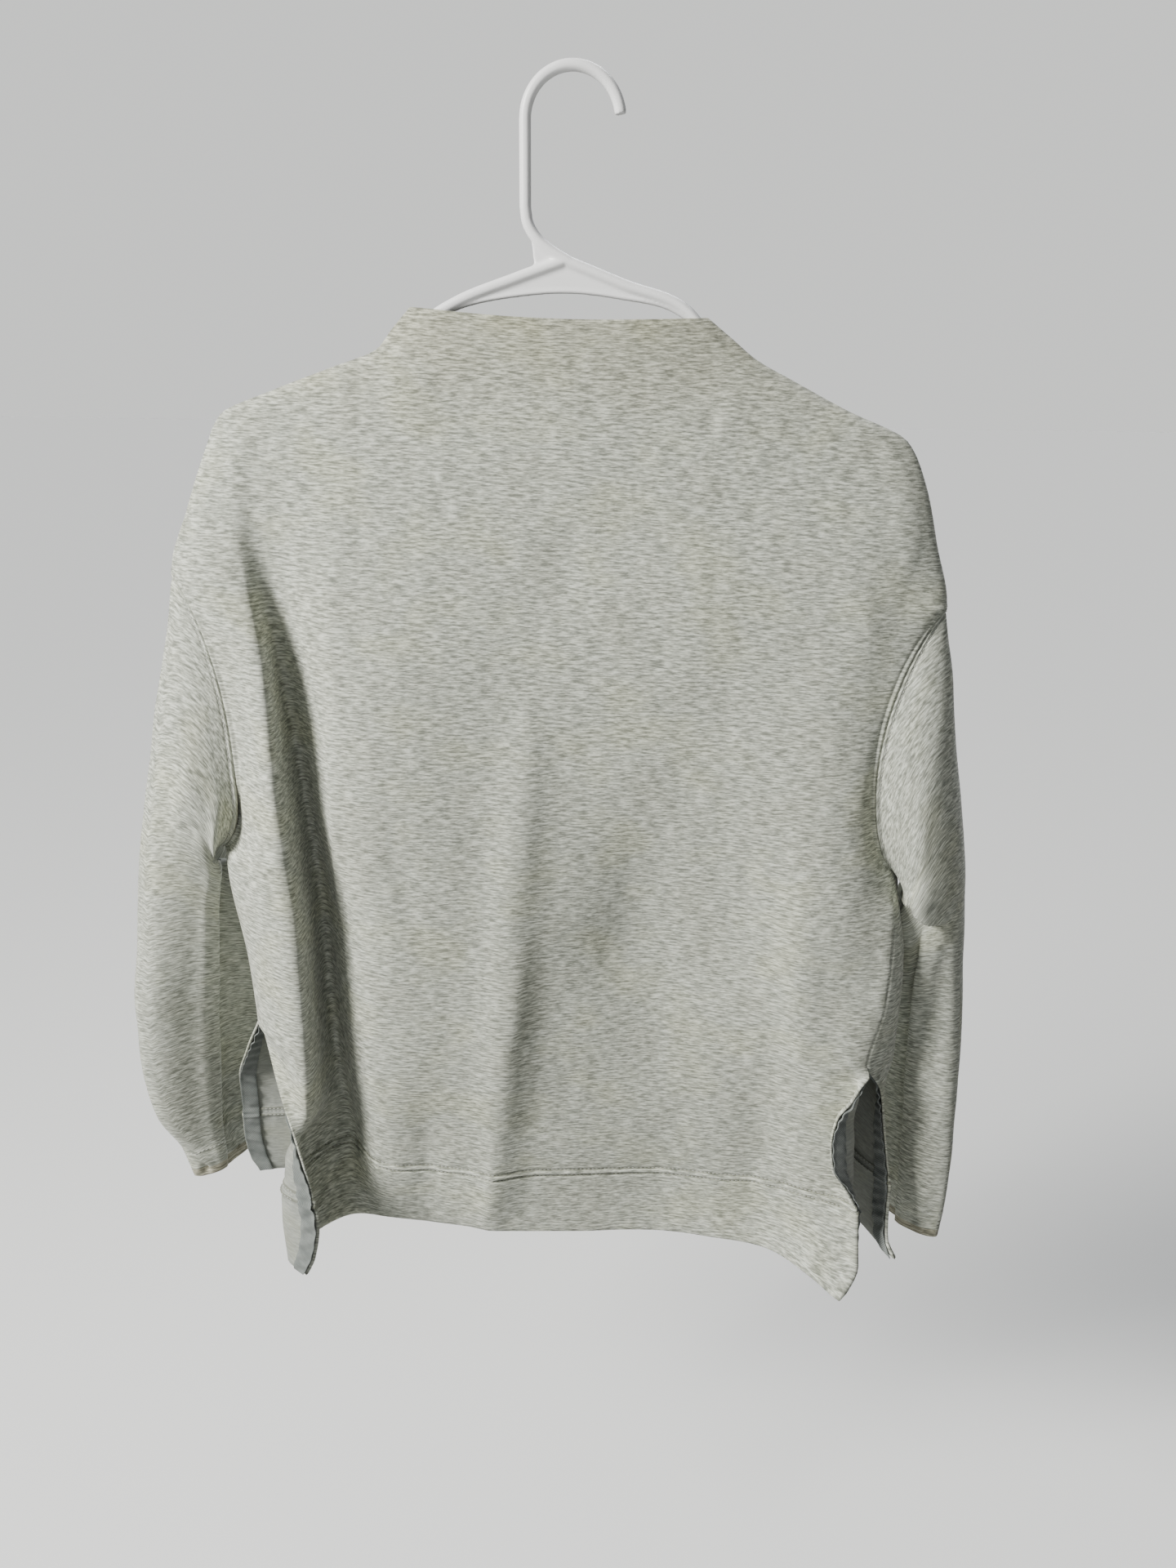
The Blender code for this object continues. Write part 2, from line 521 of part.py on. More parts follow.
def sleeve_skin(table, folds, armhole, angles, stations, tilt):
    """Outer skin of a sleeve: one ring per station from the armhole to the cuff."""
    keys = np.arange(len(table), dtype=float)
    columns = [smooth_curve(keys, [row[i] for row in table], stations) for i in range(9)]
    bow = armhole[5]
    rings = []
    for station, row in zip(stations, zip(*columns)):
        out_x, out_z, in_x, in_z, mid_y, depth, left_bow, turn, groove = row
        share = 0.5 + 0.5 * np.cos(angles)
        x = in_x + (out_x - in_x) * share
        x = x + bow * left_bow * np.abs(np.sin(angles)) ** BOW_SHAPE
        z = in_z + (out_z - in_z) * share
        place = (np.degrees(angles) - GROOVE_ANGLE) / GROOVE_WIDTH
        fold = ring_fold(folds, station, angles)
        y = groove * np.exp(-place ** 2) - (depth + fold) * np.sin(angles)
        mid_x = 0.5 * (out_x + in_x)
        turned = math.radians(turn)
        dx = x - mid_x
        x = mid_x + dx * math.cos(turned) - y * math.sin(turned)
        y = mid_y + dx * math.sin(turned) + y * math.cos(turned)
        rings.append(np.stack((x, y, z), 1))
    rings = np.array(rings)
    lower = np.clip((stations - len(table) + 1) / CUFF_RINGS + 1.0, 0.0, 1.0) ** 2
    rings[:, :, 2] += tilt * lower[:, None] * np.sin(angles)[None, :]
    return rings


def sleeve_skins(table, folds, armhole, tilt):
    """Outer and inner skin of a sleeve whose first ring meets the rows of the panels."""
    angles = np.arange(2 * ARMHOLE_STEPS) * math.pi / ARMHOLE_STEPS
    stations = np.linspace(0.0, len(table) - 1.0, SLEEVE_STEPS + 1)
    outer = sleeve_skin(table, folds, armhole, angles, stations, tilt)
    away = outer[1] - outer[0]
    away /= np.linalg.norm(away, axis=1, keepdims=True)
    outer[0] += away * (SLEEVE_GAP + UNDERARM_GAP * (0.5 - 0.5 * np.cos(angles)))[:, None]
    flip = -1.0 if armhole[0] < 0.0 else 1.0
    towards = normals(outer, flip, closed=True)
    line = np.roll(outer[0], -1, 0) - np.roll(outer[0], 1, 0)
    around = np.cross(line, (1.0, 0.0, 0.0))
    towards[0] = around / np.linalg.norm(around, axis=1, keepdims=True)
    return outer, outer - towards * CLOTH


def tube(name, points, closed, collection):
    """Round tube along a path in the hanger's plane."""
    line = bpy.data.curves.new(name, "CURVE")
    line.dimensions = "3D"
    line.bevel_depth = TUBE_RADIUS * MM
    line.bevel_resolution = 2
    line.use_fill_caps = True
    spline = line.splines.new("POLY")
    spline.points.add(len(points) - 1)
    for point, (x, z) in zip(spline.points, points):
        point.co = (x * MM, 0.0, z * MM, 1.0)
    spline.use_cyclic_u = closed
    curve = bpy.data.objects.new(name, line)
    collection.objects.link(curve)
    mesh = bpy.data.meshes.new_from_object(curve.evaluated_get(bpy.context.evaluated_depsgraph_get()))
    bpy.data.objects.remove(curve, do_unlink=True)
    build = bmesh.new()
    build.from_mesh(mesh)
    bmesh.ops.remove_doubles(build, verts=build.verts, dist=0.00001)
    bmesh.ops.recalc_face_normals(build, faces=build.faces)
    build.to_mesh(mesh)
    build.free()
    made = bpy.data.objects.new(name, mesh)
    collection.objects.link(made)
    return made


def rounded(points, steps):
    """A smooth path through the given points."""
    p = np.asarray(points, float)
    chord = np.sqrt(((p[1:] - p[:-1]) ** 2).sum(1))
    knot = np.concatenate(([0.0], np.cumsum(chord)))
    tangent = np.gradient(p, knot, axis=0)
    path = []
    for i in range(len(p) - 1):
        span = knot[i + 1] - knot[i]
        for j in range(steps):
            t = j / steps
            path.append(tuple((1.0 + 2.0 * t) * (1.0 - t) ** 2 * p[i]
                              + t * (1.0 - t) ** 2 * span * tangent[i]
                              + t * t * (3.0 - 2.0 * t) * p[i + 1]
                              + t * t * (t - 1.0) * span * tangent[i + 1]))
    path.append(tuple(p[-1]))
    return path


def web_plate(name, collection):
    """Flat web under the hook, between the two arms."""
    build = bmesh.new()
    half = 0.5 * WEB_WALL * MM
    front = [build.verts.new((x * MM, -half, z * MM)) for x, z in rounded(WEB + WEB[:1], 2)[:-1]]
    face = build.faces.new(front)
    grown = bmesh.ops.extrude_face_region(build, geom=[face])
    moved = [item for item in grown["geom"] if isinstance(item, bmesh.types.BMVert)]
    bmesh.ops.translate(build, verts=moved, vec=(0.0, 2.0 * half, 0.0))
    bmesh.ops.triangulate(build, faces=build.faces)
    bmesh.ops.recalc_face_normals(build, faces=build.faces)
    mesh = bpy.data.meshes.new(name)
    build.to_mesh(mesh)
    build.free()
    made = bpy.data.objects.new(name, mesh)
    collection.objects.link(made)
    return made


def join(base, others, collection):
    """Unite solids that pass through one another into one closed solid."""
    for other in others:
        step = base.modifiers.new("join", "BOOLEAN")
        step.operation = "UNION"
        step.solver = "EXACT"
        step.object = other
    mesh = bpy.data.meshes.new_from_object(
        base.evaluated_get(bpy.context.evaluated_depsgraph_get()))
    base.modifiers.clear()
    base.data = mesh
    for other in others:
        bpy.data.objects.remove(other, do_unlink=True)
    return base


def hanger(collection, look):
    """Tubular hanger: hook and stem, closed frame and flat web in one moulding."""
    hook = []
    for i in range(15):
        angle = math.radians(HOOK_END + (180.0 - HOOK_END) * i / 14)
        hook.append((HOOK_CENTRE[0] + HOOK_RADIUS * math.cos(angle),
                     HOOK_CENTRE[1] + HOOK_RADIUS * math.sin(angle)))
    hook_tube = tube("hanger", hook + list(STEM), False, collection)
    frame = rounded(FRAME_LEFT, 1) + rounded(FRAME_RIGHT, 1)[:0:-1]
    frame_tube = tube("frame", frame, True, collection)
    plate = web_plate("web", collection)
    made = join(hook_tube, [frame_tube, plate], collection)
    made.data.materials.clear()
    made.data.materials.append(look)
    return made


def tape(name, skins, levels, left, collection, look):
    """Tape on the inside of a slit's edge, made from the panel's own inner points."""
    rows = sum(1 for level in levels if level < SLIT_TOP)
    width = len(EDGE_BANDS)
    columns = slice(0, width) if left else slice(-width, None)
    outer, inner = (skin[:rows, columns] for skin in skins)
    base = inner.copy()
    way = inner - outer
    way /= np.linalg.norm(way, axis=2, keepdims=True)
    cut, beside = (0, 1) if left else (-1, -2)
    base[:, cut] += (base[:, beside] - base[:, cut]) * TAPE_INSET
    base[0] += (base[1] - base[0]) * TAPE_INSET
    return wall_mesh(name, base + way * TAPE_GAP, base + way * (TAPE_GAP + TAPE_WALL), False,
                     collection, look)


def build():
    """Make every solid of the garment and its hanger."""
    main = fresh_scene("mock_neck_sweatshirt")
    knit = material("heather_knit", (0.56, 0.56, 0.54), 0.95)
    band = material("grey_tape", (0.36, 0.39, 0.40), 0.9)
    plastic = material("white_plastic", (0.88, 0.88, 0.88), 0.3)
    levels = row_levels()
    front = panel_skins(True, levels, FRONT_COLUMNS)
    wall_mesh("front_panel", *front, False, main, knit)
    shorter = (BACK_HEM - SLIT_TOP) / (FRONT_HEM - SLIT_TOP)
    back_levels = [SLIT_TOP + (level - SLIT_TOP) * min(1.0, shorter if level < SLIT_TOP else 1.0)
                   for level in levels]
    back = panel_skins(False, back_levels, BACK_COLUMNS)
    wall_mesh("back_panel", *back, False, main, knit)
    outer, inner = sleeve_skins(SLEEVE_LEFT, FOLDS_LEFT, ARMHOLE_LEFT, CUFF_TILT_LEFT)
    wall_mesh("sleeve_left", outer, inner, True, main, knit)
    outer, inner = sleeve_skins(SLEEVE_RIGHT, FOLDS_RIGHT, ARMHOLE_RIGHT, CUFF_TILT_RIGHT)
    wall_mesh("sleeve_right", outer, inner, True, main, knit)
    tape("tape_front_left", front, levels, True, main, band)
    tape("tape_front_right", front, levels, False, main, band)
    tape("tape_back_left", back, back_levels, True, main, band)
    tape("tape_back_right", back, back_levels, False, main, band)
    hanger(main, plastic)


build()
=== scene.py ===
import math

import bmesh
import bpy
import numpy as np
from mathutils import Matrix, Vector, noise


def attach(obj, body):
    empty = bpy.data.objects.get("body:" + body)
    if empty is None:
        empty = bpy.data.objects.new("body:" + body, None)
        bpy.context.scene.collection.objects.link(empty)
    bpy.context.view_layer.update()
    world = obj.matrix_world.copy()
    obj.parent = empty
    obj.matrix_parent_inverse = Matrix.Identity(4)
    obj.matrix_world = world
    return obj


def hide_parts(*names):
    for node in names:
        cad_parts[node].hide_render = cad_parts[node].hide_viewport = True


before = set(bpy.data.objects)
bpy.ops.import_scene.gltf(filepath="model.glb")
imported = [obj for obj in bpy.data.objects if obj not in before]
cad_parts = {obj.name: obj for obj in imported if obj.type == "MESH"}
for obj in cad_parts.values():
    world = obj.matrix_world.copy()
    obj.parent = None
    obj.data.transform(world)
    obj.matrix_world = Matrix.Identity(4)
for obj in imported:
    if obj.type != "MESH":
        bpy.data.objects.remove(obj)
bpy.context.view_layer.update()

# The garment's cut, nearly that of its solids.  Every table is in millimetres.
MM = 0.001
CLOTH = 1.8
HEM_LAYERS = 2.0
HEM_DEPTH = 54.0
TAPE_WALL = 0.9
TAPE_GAP = 0.35
TUBE_RADIUS = 3.5
NECK_TOP = -125.0
NECK_FOOT = -148.5
SHOULDER_END = -210.5
ARMHOLE_TOP = -288.5
UNDERARM = -472.5
ARMHOLE_MARGIN = 2.0
SLIT_TOP = -609.5
FRONT_HEM = -770.0
BACK_HEM = -762.0
HEM_LINE = FRONT_HEM + HEM_DEPTH
BACK_HEM_LINE = BACK_HEM + HEM_DEPTH

# Outline shared by both panels: level, left x, right x, how far one side is lower per mm of width.
OUTLINE = (
    (-125, -96, 81.5, 0.020),
    (-137, -107, 97, 0.016),
    (-148.5, -117, 112, 0.013),
    (-158, -140, 132, 0.016),
    (-174, -180, 167, 0.020),
    (-190, -213, 206, 0.024),
    (-210.5, -223, 219, 0.034),
    (-250, -239, 231, 0.032),
    (-288.5, -252, 241, 0.0305),
    (-472.5, -235, 222, 0.024),
    (-500, -233, 224, 0.028),
    (-560, -225, 222, 0.034),
    (-609.5, -222, 213, 0.0384),
    (-775, -222, 213, 0.0384),
)
# Side seam from the underarm to the slit: level, y on the left, y on the right.
SIDE_SEAM = (
    (-472.5, 0, -1),
    (-500, 1, -20),
    (-560, 0, -29),
    (-609.5, 0, -30),
)
SEAM_TURN = 90.0
ARMHOLE_TURN = 75.0
SIDE_TURN = 65.0
# Free edges of the slits: level, x, y and the angle by which the cloth turns inwards from there.
FRONT_SLIT_LEFT = (
    (-609.5, -222, 0, 90),
    (-624, -214, -14, 40),
    (-648, -203, -31, 0),
    (-662, -196, -39, -40),
    (-677, -189, -46, -80),
    (-692, -183, -52, -120),
    (-707, -178, -58, -155),
    (-735, -171, -68, -160),
    (-757, -174, -72, -155),
    (-770, -179, -74, -145),
)
FRONT_SLIT_RIGHT = (
    (-609.5, 213, -30, 25),
    (-614, 214, -33.5, -15),
    (-620, 207.5, -37.5, -60),
    (-630, 198.5, -44, -110),
    (-641, 190, -46, -116),
    (-657, 187, -48, -150),
    (-682, 190, -48, -152),
    (-700, 200, -46, -125),
    (-716, 209, -44, -80),
    (-732, 212, -45, -45),
    (-755, 213, -54, -30),
    (-770, 200, -68, -40),
)
BACK_SLIT_LEFT = (
    (-609.5, -222, 0, 90),
    (-645, -238, 13, 50),
    (-680, -249, 27, 15),
    (-725, -249, 30, 5),
    (-750, -246, 30, 5),
    (-762, -240, 28, 10),
)
BACK_SLIT_RIGHT = (
    (-609.5, 213, -30, 155),
    (-632, 228, -23, 110),
    (-662, 234, -18, 75),
    (-697, 240, -16, 55),
    (-720, 244, -16, 50),
    (-737, 243, -21, 55),
    (-755, 242, -31, 60),
    (-762, 246, -40, 60),
)
# Plan sections of the front panel: level, then x and y of the pleat's ridge, the pleat's valley,
# the pressed crease beside it, the centre crease, the right half, the right roll and the lip that
# curls over beside the right slit.
FRONT_SECTIONS = (
    (-125, -86, -7.5, -74, -10, -54, -12, -8, -13, 38, -12, 66, -8.5, 75, -5.5),
    (-148.5, -104, -8.5, -90, -11, -66, -14, -10, -15.5, 46, -14, 92, -9.5, 103, -7),
    (-170, -155, -8.5, -134, -11, -100, -14, -15, -16, 70, -15, 136, -9.5, 149, -7.5),
    (-190, -196, -8.5, -172, -11.5, -135, -14.5, -18, -17, 80, -16, 176, -10, 194, -7.5),
    (-210.5, -206, -10.5, -186, -12, -145, -16, -20, -18, 85, -17, 188, -12, 208, -9),
    (-250, -208, -14.5, -194, -12.5, -149, -19, -22, -19, 85, -18.5, 192, -16, 217, -11),
    (-300, -199, -22, -191, -9, -151, -22.5, -24, -21, 80, -20, 184, -20, 205, -17),
    (-345, -191, -32, -187, 0, -153, -25, -24, -22, 92, -20, 176, -24, 196, -20),
    (-430, -187.5, -40, -180, 8, -153, -27, -24, -24, 98, -20, 174, -28, 192, -24),
    (-472.5, -183.5, -43, -177, 11, -148, -27, -27, -24, 104, -19.5, 180, -31, 204, -23),
    (-515, -179.5, -45, -174, 13, -143, -27, -30, -25, 110, -19, 184, -34, 210, -29),
    (-600, -179, -46, -172, 14, -144, -26, -38, -25, 114, -20.5, 181, -32, 204, -33),
    (-612, -179, -46, -171.5, 14, -143.5, -25.5, -39.5, -25, 115, -20.5, 181, -32, 204.5, -32.5),
    (-630, -179.5, -45.5, -171, 13.5, -143, -25, -41.5, -24.5, 116, -20.5, 180, -31.5, 207, -33.5),
    (-650, -180.5, -44.5, -170, 13, -142, -24, -44, -24, 117, -20.5, 179, -31, 204.5, -34),
    (-664, -181.5, -41, -169, 13, -141, -23, -46, -23.5, 118, -20.5, 178, -29, 206, -35.5),
    (-680, -186, -39, -167.5, 12, -140, -22, -48, -22.5, 118, -20.5, 177, -28, 207, -35.5),
    (-700, -197, -43, -166, 12, -139, -20, -50, -22, 118, -20.5, 176, -28, 208, -36),
    (-735, -197.5, -53, -164, 5, -137, -18, -54, -21, 112, -20.5, 170, -29.5, 200, -40),
    (-770, -194, -60, -162, -10, -130, -13, -57, -21, 100, -19.5, 156, -31, 182, -52),
)
# Plan sections of the back panel: level, then x and y of the left roll, left half, middle, right
# half, right roll and the outermost point on the right.
BACK_SECTIONS = (
    (-125, -84, 8, -54, 12.5, -6, 14, 42, 12.5, 68, 8.5, 76, 5.5),
    (-148.5, -103, 9, -64, 14.5, -6, 16, 56, 14.5, 96, 9.5, 105, 7),
    (-170, -154, 9, -92, 15, -6, 17, 82, 15, 142, 9.5, 155, 7),
    (-190, -196, 9, -120, 15.5, -6, 18, 110, 15.5, 186, 9.5, 198, 7),
    (-210.5, -206, 10.5, -128, 17, -6, 19, 116, 17, 200, 11, 211, 8),
    (-250, -214, 15, -131, 20, -5, 21, 120, 20, 206, 15, 221, 9),
    (-300, -206, 20, -132, 23, 0, 22, 120, 23, 190, 20, 205, 18.5),
    (-385, -196, 24, -132, 27, 0, 25, 120, 27, 176, 24, 190, 21),
    (-440, -200, 25, -132, 28, 0, 27, 122, 28, 188, 26, 202, 21),
    (-472.5, -208, 24, -133, 29, 0, 28, 122, 29, 200, 26, 216, 15),
    (-500, -210, 25, -134, 30, 0, 29, 123, 30, 210, 26, 230, 8),
    (-530, -211, 25, -134, 31, 0, 29, 124, 31, 217, 24, 237, 0),
    (-609.5, -211, 26, -136, 33, 0, 30, 126, 33, 222, 22, 239, -4),
    (-662, -226, 33, -138, 35, 0, 31, 128, 34, 216, 26, 229, 4),
    (-762, -222, 33, -140, 36, 0, 32, 130, 35, 214, 27, 228, 2),
)
# Soft folds: x and level of the upper end, x and level of the lower end, half width, height.
FOLD_START = 110.0
FOLD_END = 60.0
FOLD_MARGIN = 0.12
FRONT_FOLDS = (
    (-24, -330, -57, -790, 15, 5),
    (56, -400, 34, -590, 26, -4.5),
    (150, -530, 144, -790, 22, -5.5),
    (-96, -600, -104, -790, 16, -4),
    (150, -430, 166, -640, 16, 4.5),
)
BACK_FOLDS = (
    (-150, -300, -165, -790, 14, -9),
    (-60, -420, -84, -790, 22, 7),
    (24, -330, 30, -790, 18, -6),
    (104, -480, 88, -790, 20, 8),
    (168, -360, 176, -700, 15, -6),
)
NECK_DIP = 4.5
CORNER_TOP = -700.0
CORNER_START = 150.0
CORNER_WIDTH = 50.0
CORNER_FALL = 8.0
# Armholes: x and z of the top point, x and z of the underarm, half depth, bow of the seam along X.
ARMHOLE_LEFT = (-252, -280.8, -235, -466.9, 17, 23)
ARMHOLE_RIGHT = (241, -295.9, 222, -477.8, 17, -27)
BOW_SHAPE = 1.6
# Sleeve rings from the armhole to the cuff: x and z of the outer point, x and z of the inner point,
# y of the middle, half depth, bow that is left, turn about the vertical in degrees, groove depth.
SLEEVE_LEFT = (
    (-252, -280.8, -235, -466.9, 0, 17, 1, 0, 0),
    (-256, -301, -243, -471.5, 0, 20, 0.80, 0, 0),
    (-263, -332, -245, -484, 1, 24, 0.55, 2, 1),
    (-272, -368, -247, -494, 3, 27, 0.35, 7, 3),
    (-285, -422, -246.5, -509, 8, 28, 0.15, 15, 8),
    (-299, -482, -243, -535, 14.5, 27, 0, 24, 13),
    (-309, -540, -238, -572, 21, 25, 0, 32, 14),
    (-320, -598, -235, -612, 27, 22, 0, 38, 13),
    (-323, -648, -232, -652, 31, 20, 0, 41, 12),
    (-319, -690, -231, -694, 34, 18, 0, 45, 11),
    (-305, -722, -237, -726, 36, 15, 0, 51, 8),
    (-299, -744, -236, -750, 37, 13, 0, 55, 5),
)
SLEEVE_RIGHT = (
    (241, -295.9, 222, -477.8, 0, 17, 1, 0, 0),
    (244, -313, 232, -487, -1, 22, 0.80, 0, 0),
    (250, -342, 240, -496, -1, 27, 0.55, -4, 0),
    (256, -378, 246, -505, 1, 30, 0.35, -8, 0),
    (267, -430, 246.5, -523, 5, 31, 0.15, -15, 0),
    (278, -486, 246.5, -547, 12, 29, 0, -25, 2),
    (285, -546, 245, -583, 19, 26, 0, -35, 5),
    (294, -606, 241, -622, 26, 22, 0, -44, 7),
    (300, -660, 235, -664, 30, 19, 0, -50, 8),
    (305, -712, 231, -712, 32, 17, 0, -54, 7),
    (307, -752, 229, -752, 33, 16, 0, -58, 6),
    (306, -786, 230, -788, 34, 15, 0, -60, 4),
)
# Folds across a sleeve: ring and degrees round at one end, the same at the other, half width in
# rings above the fold's ridge and below it, height, depth of the tuck just below it.
FOLDS_LEFT = (
    (0.9, 150, 3.4, 70, 0.80, 0.80, 4, 0),
    (3.4, 250, 6.2, 300, 0.90, 0.90, 4, 0),
)
FOLDS_RIGHT = (
    (3.2, 240, 6, 296, 0.90, 0.90, 4, 0),
)
SEAM_FADE = 0.8
CUFF_TILT_LEFT = 12.0
CUFF_TILT_RIGHT = 3.0
CUFF_RINGS = 3.0

# Hanger: x and z of the tube's middle line, outlines of the flat web and the gusset at the stem.
HOOK_RADIUS = 27.0
HOOK_END = 6.0
HOOK_STEPS = 48
STEM = ((-27, -69), (-25.6, -77), (-20.5, -85), (-12, -91.5), (-2, -97))
FRAME_LEFT = ((-4, -96.5), (-34, -107), (-70, -121), (-82, -128), (-96, -141.5),
              (-109, -151), (-130, -159.5), (-170, -175.5), (-200, -187.5),
              (-206.5, -192), (-208.5, -199), (-204.5, -206), (-196, -209.5))
FRAME_RIGHT = ((-4, -96.5), (30, -109), (69, -123.6), (78, -133), (90, -145.5),
               (104, -155.5), (126, -165.5), (164, -183), (192, -196),
               (198.5, -201), (200.5, -208), (196.5, -215), (188, -218.5))
WEB = ((-4, -95), (-34, -106), (-70, -120.5), (-84, -129.5), (-62, -121), (-34, -115.5),
       (0, -113), (30, -116), (58, -121.5), (80, -134.5), (68, -123), (28, -107))
GUSSET = ((-24.5, -79), (-21.5, -103), (-4, -97), (-12, -91.5))
WEB_WALL = 2.4
WEB_RIM = 1.7
GUSSET_WALL = 2.2
VOXEL = 0.8

# Mesh density of the shells: rows between the levels, columns between the sections' points.
ARMHOLE_STEPS = 60
EDGE_BANDS = (0, 0.8, 1.6, 2.4, 3.2, 4, 4.8, 5.8, 7.2, 9, 11.5, 14)
TAPE_COLUMNS = 11
TAPE_ROWS = 170
SLEEVE_COLUMNS = 150
SLEEVE_ROWS = (11, 150, 18)
SEAM_RINGS = (0.34, 0.38)
CUFF_END_RINGS = (0.5, 0.47)
CROWD_EXTRA = 5.0
CROWD_WIDTH = 11.0
ROW_STEPS = ((FRONT_HEM, 15), (HEM_LINE - 8, 16), (HEM_LINE + 5, 16), (-650, 14), (SLIT_TOP, 44),
             (UNDERARM, 0), (ARMHOLE_TOP, 25), (SHOULDER_END, 7), (-190, 14), (NECK_FOOT, 10), (NECK_TOP, 0))
CURVE_SAMPLES = 61
KNOT_POWER = 0.7
SHORTEST_CHORD = 0.5
EDGE_SHARE = 0.6
FRONT_COLUMNS = (22, 20, 16, 22, 22, 22, 15, 22)
BACK_COLUMNS = (22, 18, 22, 22, 18, 12, 22)

# Creases that only the looks need: x and level of the upper end, the same of the lower end, half
# width, height, how long each end tapers.  The edge of a press crease is sharp, a drag line soft.
FRONT_CREASES = (
    (-30, -400, -64, -810, 30, 4.2, 110),
    (60, -430, 74, -830, 58, -7.5, 120),
    (-60, -690, -84, -840, 18, -2, 40),
    (-144, -225, -158, -560, 3, 1.3, 60),
    (-24, -340, -26, -520, 4, 0.9, 50),
    (-26, -500, -58, -790, 6, 2.2, 60),
    (-36, -662, 2, -690, 5, -1.4, 14),
    (-28, -676, 12, -700, 4, 1, 14),
    (18, -694, 44, -702, 4.5, -1, 12),
    (96, -640, 70, -700, 6, -1.4, 22),
    (-106, -150, -84, -205, 6, 1.6, 22),
    (104, -156, 86, -205, 6, 1.4, 22),
    (170, -250, 196, -330, 11, 2, 40),
    (-120, -400, -96, -560, 12, -1.6, 60),
    (6, -232, -14, -330, 20, -1.6, 40),
    (88, -260, 74, -380, 18, 1.4, 45),
    (140, -700, 166, -752, 7, 2, 22),
)
BACK_CREASES = (
    (-8, -330, -4, -790, 4, 1.6, 70),
    (-108, -156, -80, -215, 6, 1.6, 24),
    (106, -158, 82, -215, 6, 1.5, 24),
    (-190, -240, -168, -340, 10, 2, 40),
    (60, -250, 46, -400, 18, -1.6, 50),
    (-34, -664, 10, -700, 5, -1.3, 16),
    (120, -640, 96, -720, 7, 1.6, 24),
)

# Lengthwise creases of the sleeves: ring, degrees round, how far the cloth behind is tucked in, how
# far the lobe in front laps over it.
LOBES_LEFT = (
    (2.4, 150, 0, 0),
    (3.3, 148, 9, 3),
    (4, 138, 12, 4),
    (5, 121, 13, 5),
    (6, 107, 13, 5),
    (7, 100, 13, 5),
    (8, 94, 13, 5),
    (9, 87, 12, 4.5),
    (10, 76, 8, 3),
    (11, 66, 2, 1),
)
LOBES_RIGHT = (
    (4.6, 112, 0, 0),
    (5.5, 106, 4, 1),
    (7, 96, 8, 2),
    (9, 84, 8, 2),
    (11, 78, 5, 1),
)
# Lap of the right sleeve's upper part over its lower part: degrees round, ring, depth, droop.
LAP_RIGHT = (
    (20, 5.3, 0, 0),
    (50, 5.25, 3, 3),
    (80, 4.95, 9, 6),
    (105, 4.45, 13, 8),
    (128, 3.7, 15, 8),
    (155, 2.3, 13, 6),
    (185, 1.2, 6, 2),
    (215, 0.6, 0, 0),
)
# Places where a sleeve's cloth is pushed: ring, degrees, half width in rings and in degrees, shift
# along X, Y and Z.
PUSHES_LEFT = (
    (1.3, 132, 0.8, 20, 1, -6, -3),
    (2.9, 168, 0.65, 26, 3, 13, 5),
    (4.6, 178, 1.5, 40, 9, 4, 0),
    (3.4, 205, 1.1, 26, 11, 5, 0),
    (6.5, 182, 1.2, 36, 4, 2, 0),
    (11, 58, 1.1, 62, 3, -2, -9),
    (10.6, 84, 0.30, 11, 0, 7, 1),
    (10.75, 30, 0.22, 8, 1, 4, 1),
    (5.5, 40, 2, 26, 0, -3, 0),
)
PUSHES_RIGHT = (
    (3.6, 180, 1.2, 44, -7, 4, 0),
    (4.9, 176, 1, 40, -7, 3, 0),
    (4.4, 208, 1.1, 26, -13, 6, 0),
    (3, 174, 1.7, 38, -7, -4, -3),
    (8.5, 90, 3.5, 150, 0, -6, 0),
    (6.6, 180, 1.4, 40, -3, 1, 0),
    (2.4, 110, 1.4, 30, 0, -4, 0),
    (11, 150, 0.9, 50, 0, 0, -3),
    (10.2, 20, 0.9, 20, -3, 3, 0),
    (6.4, 50, 0.8, 20, 0, 4, 0),
)
# How far the courses of a sleeve follow its armhole, and over how many rings that fades.
SKEW = 0.55
SKEW_REACH = 7.0
LOBE_EDGE = 5.0
LOBE_START = 0.6
LOBE_FLAT = 12.0
LOBE_REACH = 75.0
LAP_EDGE = 0.07
LAP_REACH = 0.9
# Places where all the cloth near a point is shifted: point, radii, shift.
WARPS = (
    ((-232, -13, -440), (14, 13, 30), (5, -1, 0)),
    ((220, 12, -491), (9, 14, 22), (9.5, 0, 0)),
)
# Hollows of the front panel: x, level, half widths, depth.
FRONT_HOLLOWS = (
    (-224, -446, 5, 22, 6),
    (-214, -470, 6, 40, 2),
)

# Relief across a line, as place, half width and height of each ridge: the hem's two needle rows with
# the cloth standing up between them, the bands that pucker beside them, the double seam's welt, the
# rounding of a free edge, a lobe's crease and its lap, the right sleeve's lap and its drooping lip.
HEM_RIDGES = ((0.0, 1.1, -1.3), (-5.0, 1.1, -1.3), (-2.5, 1.3, 0.6))
PUCKER_RIDGES = ((5.0, 4.0, 0.6), (-9.0, 4.5, 0.48))
SEAM_RIDGES = ((1.7, 1.0, 0.7), (4.0, 0.9, -0.55))
EDGE_RIDGES = ((0.0, 1.2, -0.5),)
LOBE_RIDGES = ((-11.0, 9.0, -0.18),)
LOBE_LAP_RIDGES = ((-2.5, 5.0, 1.0), (4.0, 4.0, -0.5))
LAP_RIDGES = ((-0.3, 0.35, -0.35),)
LIP_RIDGES = ((-0.10, 0.16, -1.0),)
# Spacings of the hem's puckers: single ones, their groups and the group's drift.
PUCKERS = (2.1, 7.3, 13.0)
PUCKER_DRIFT = 0.9
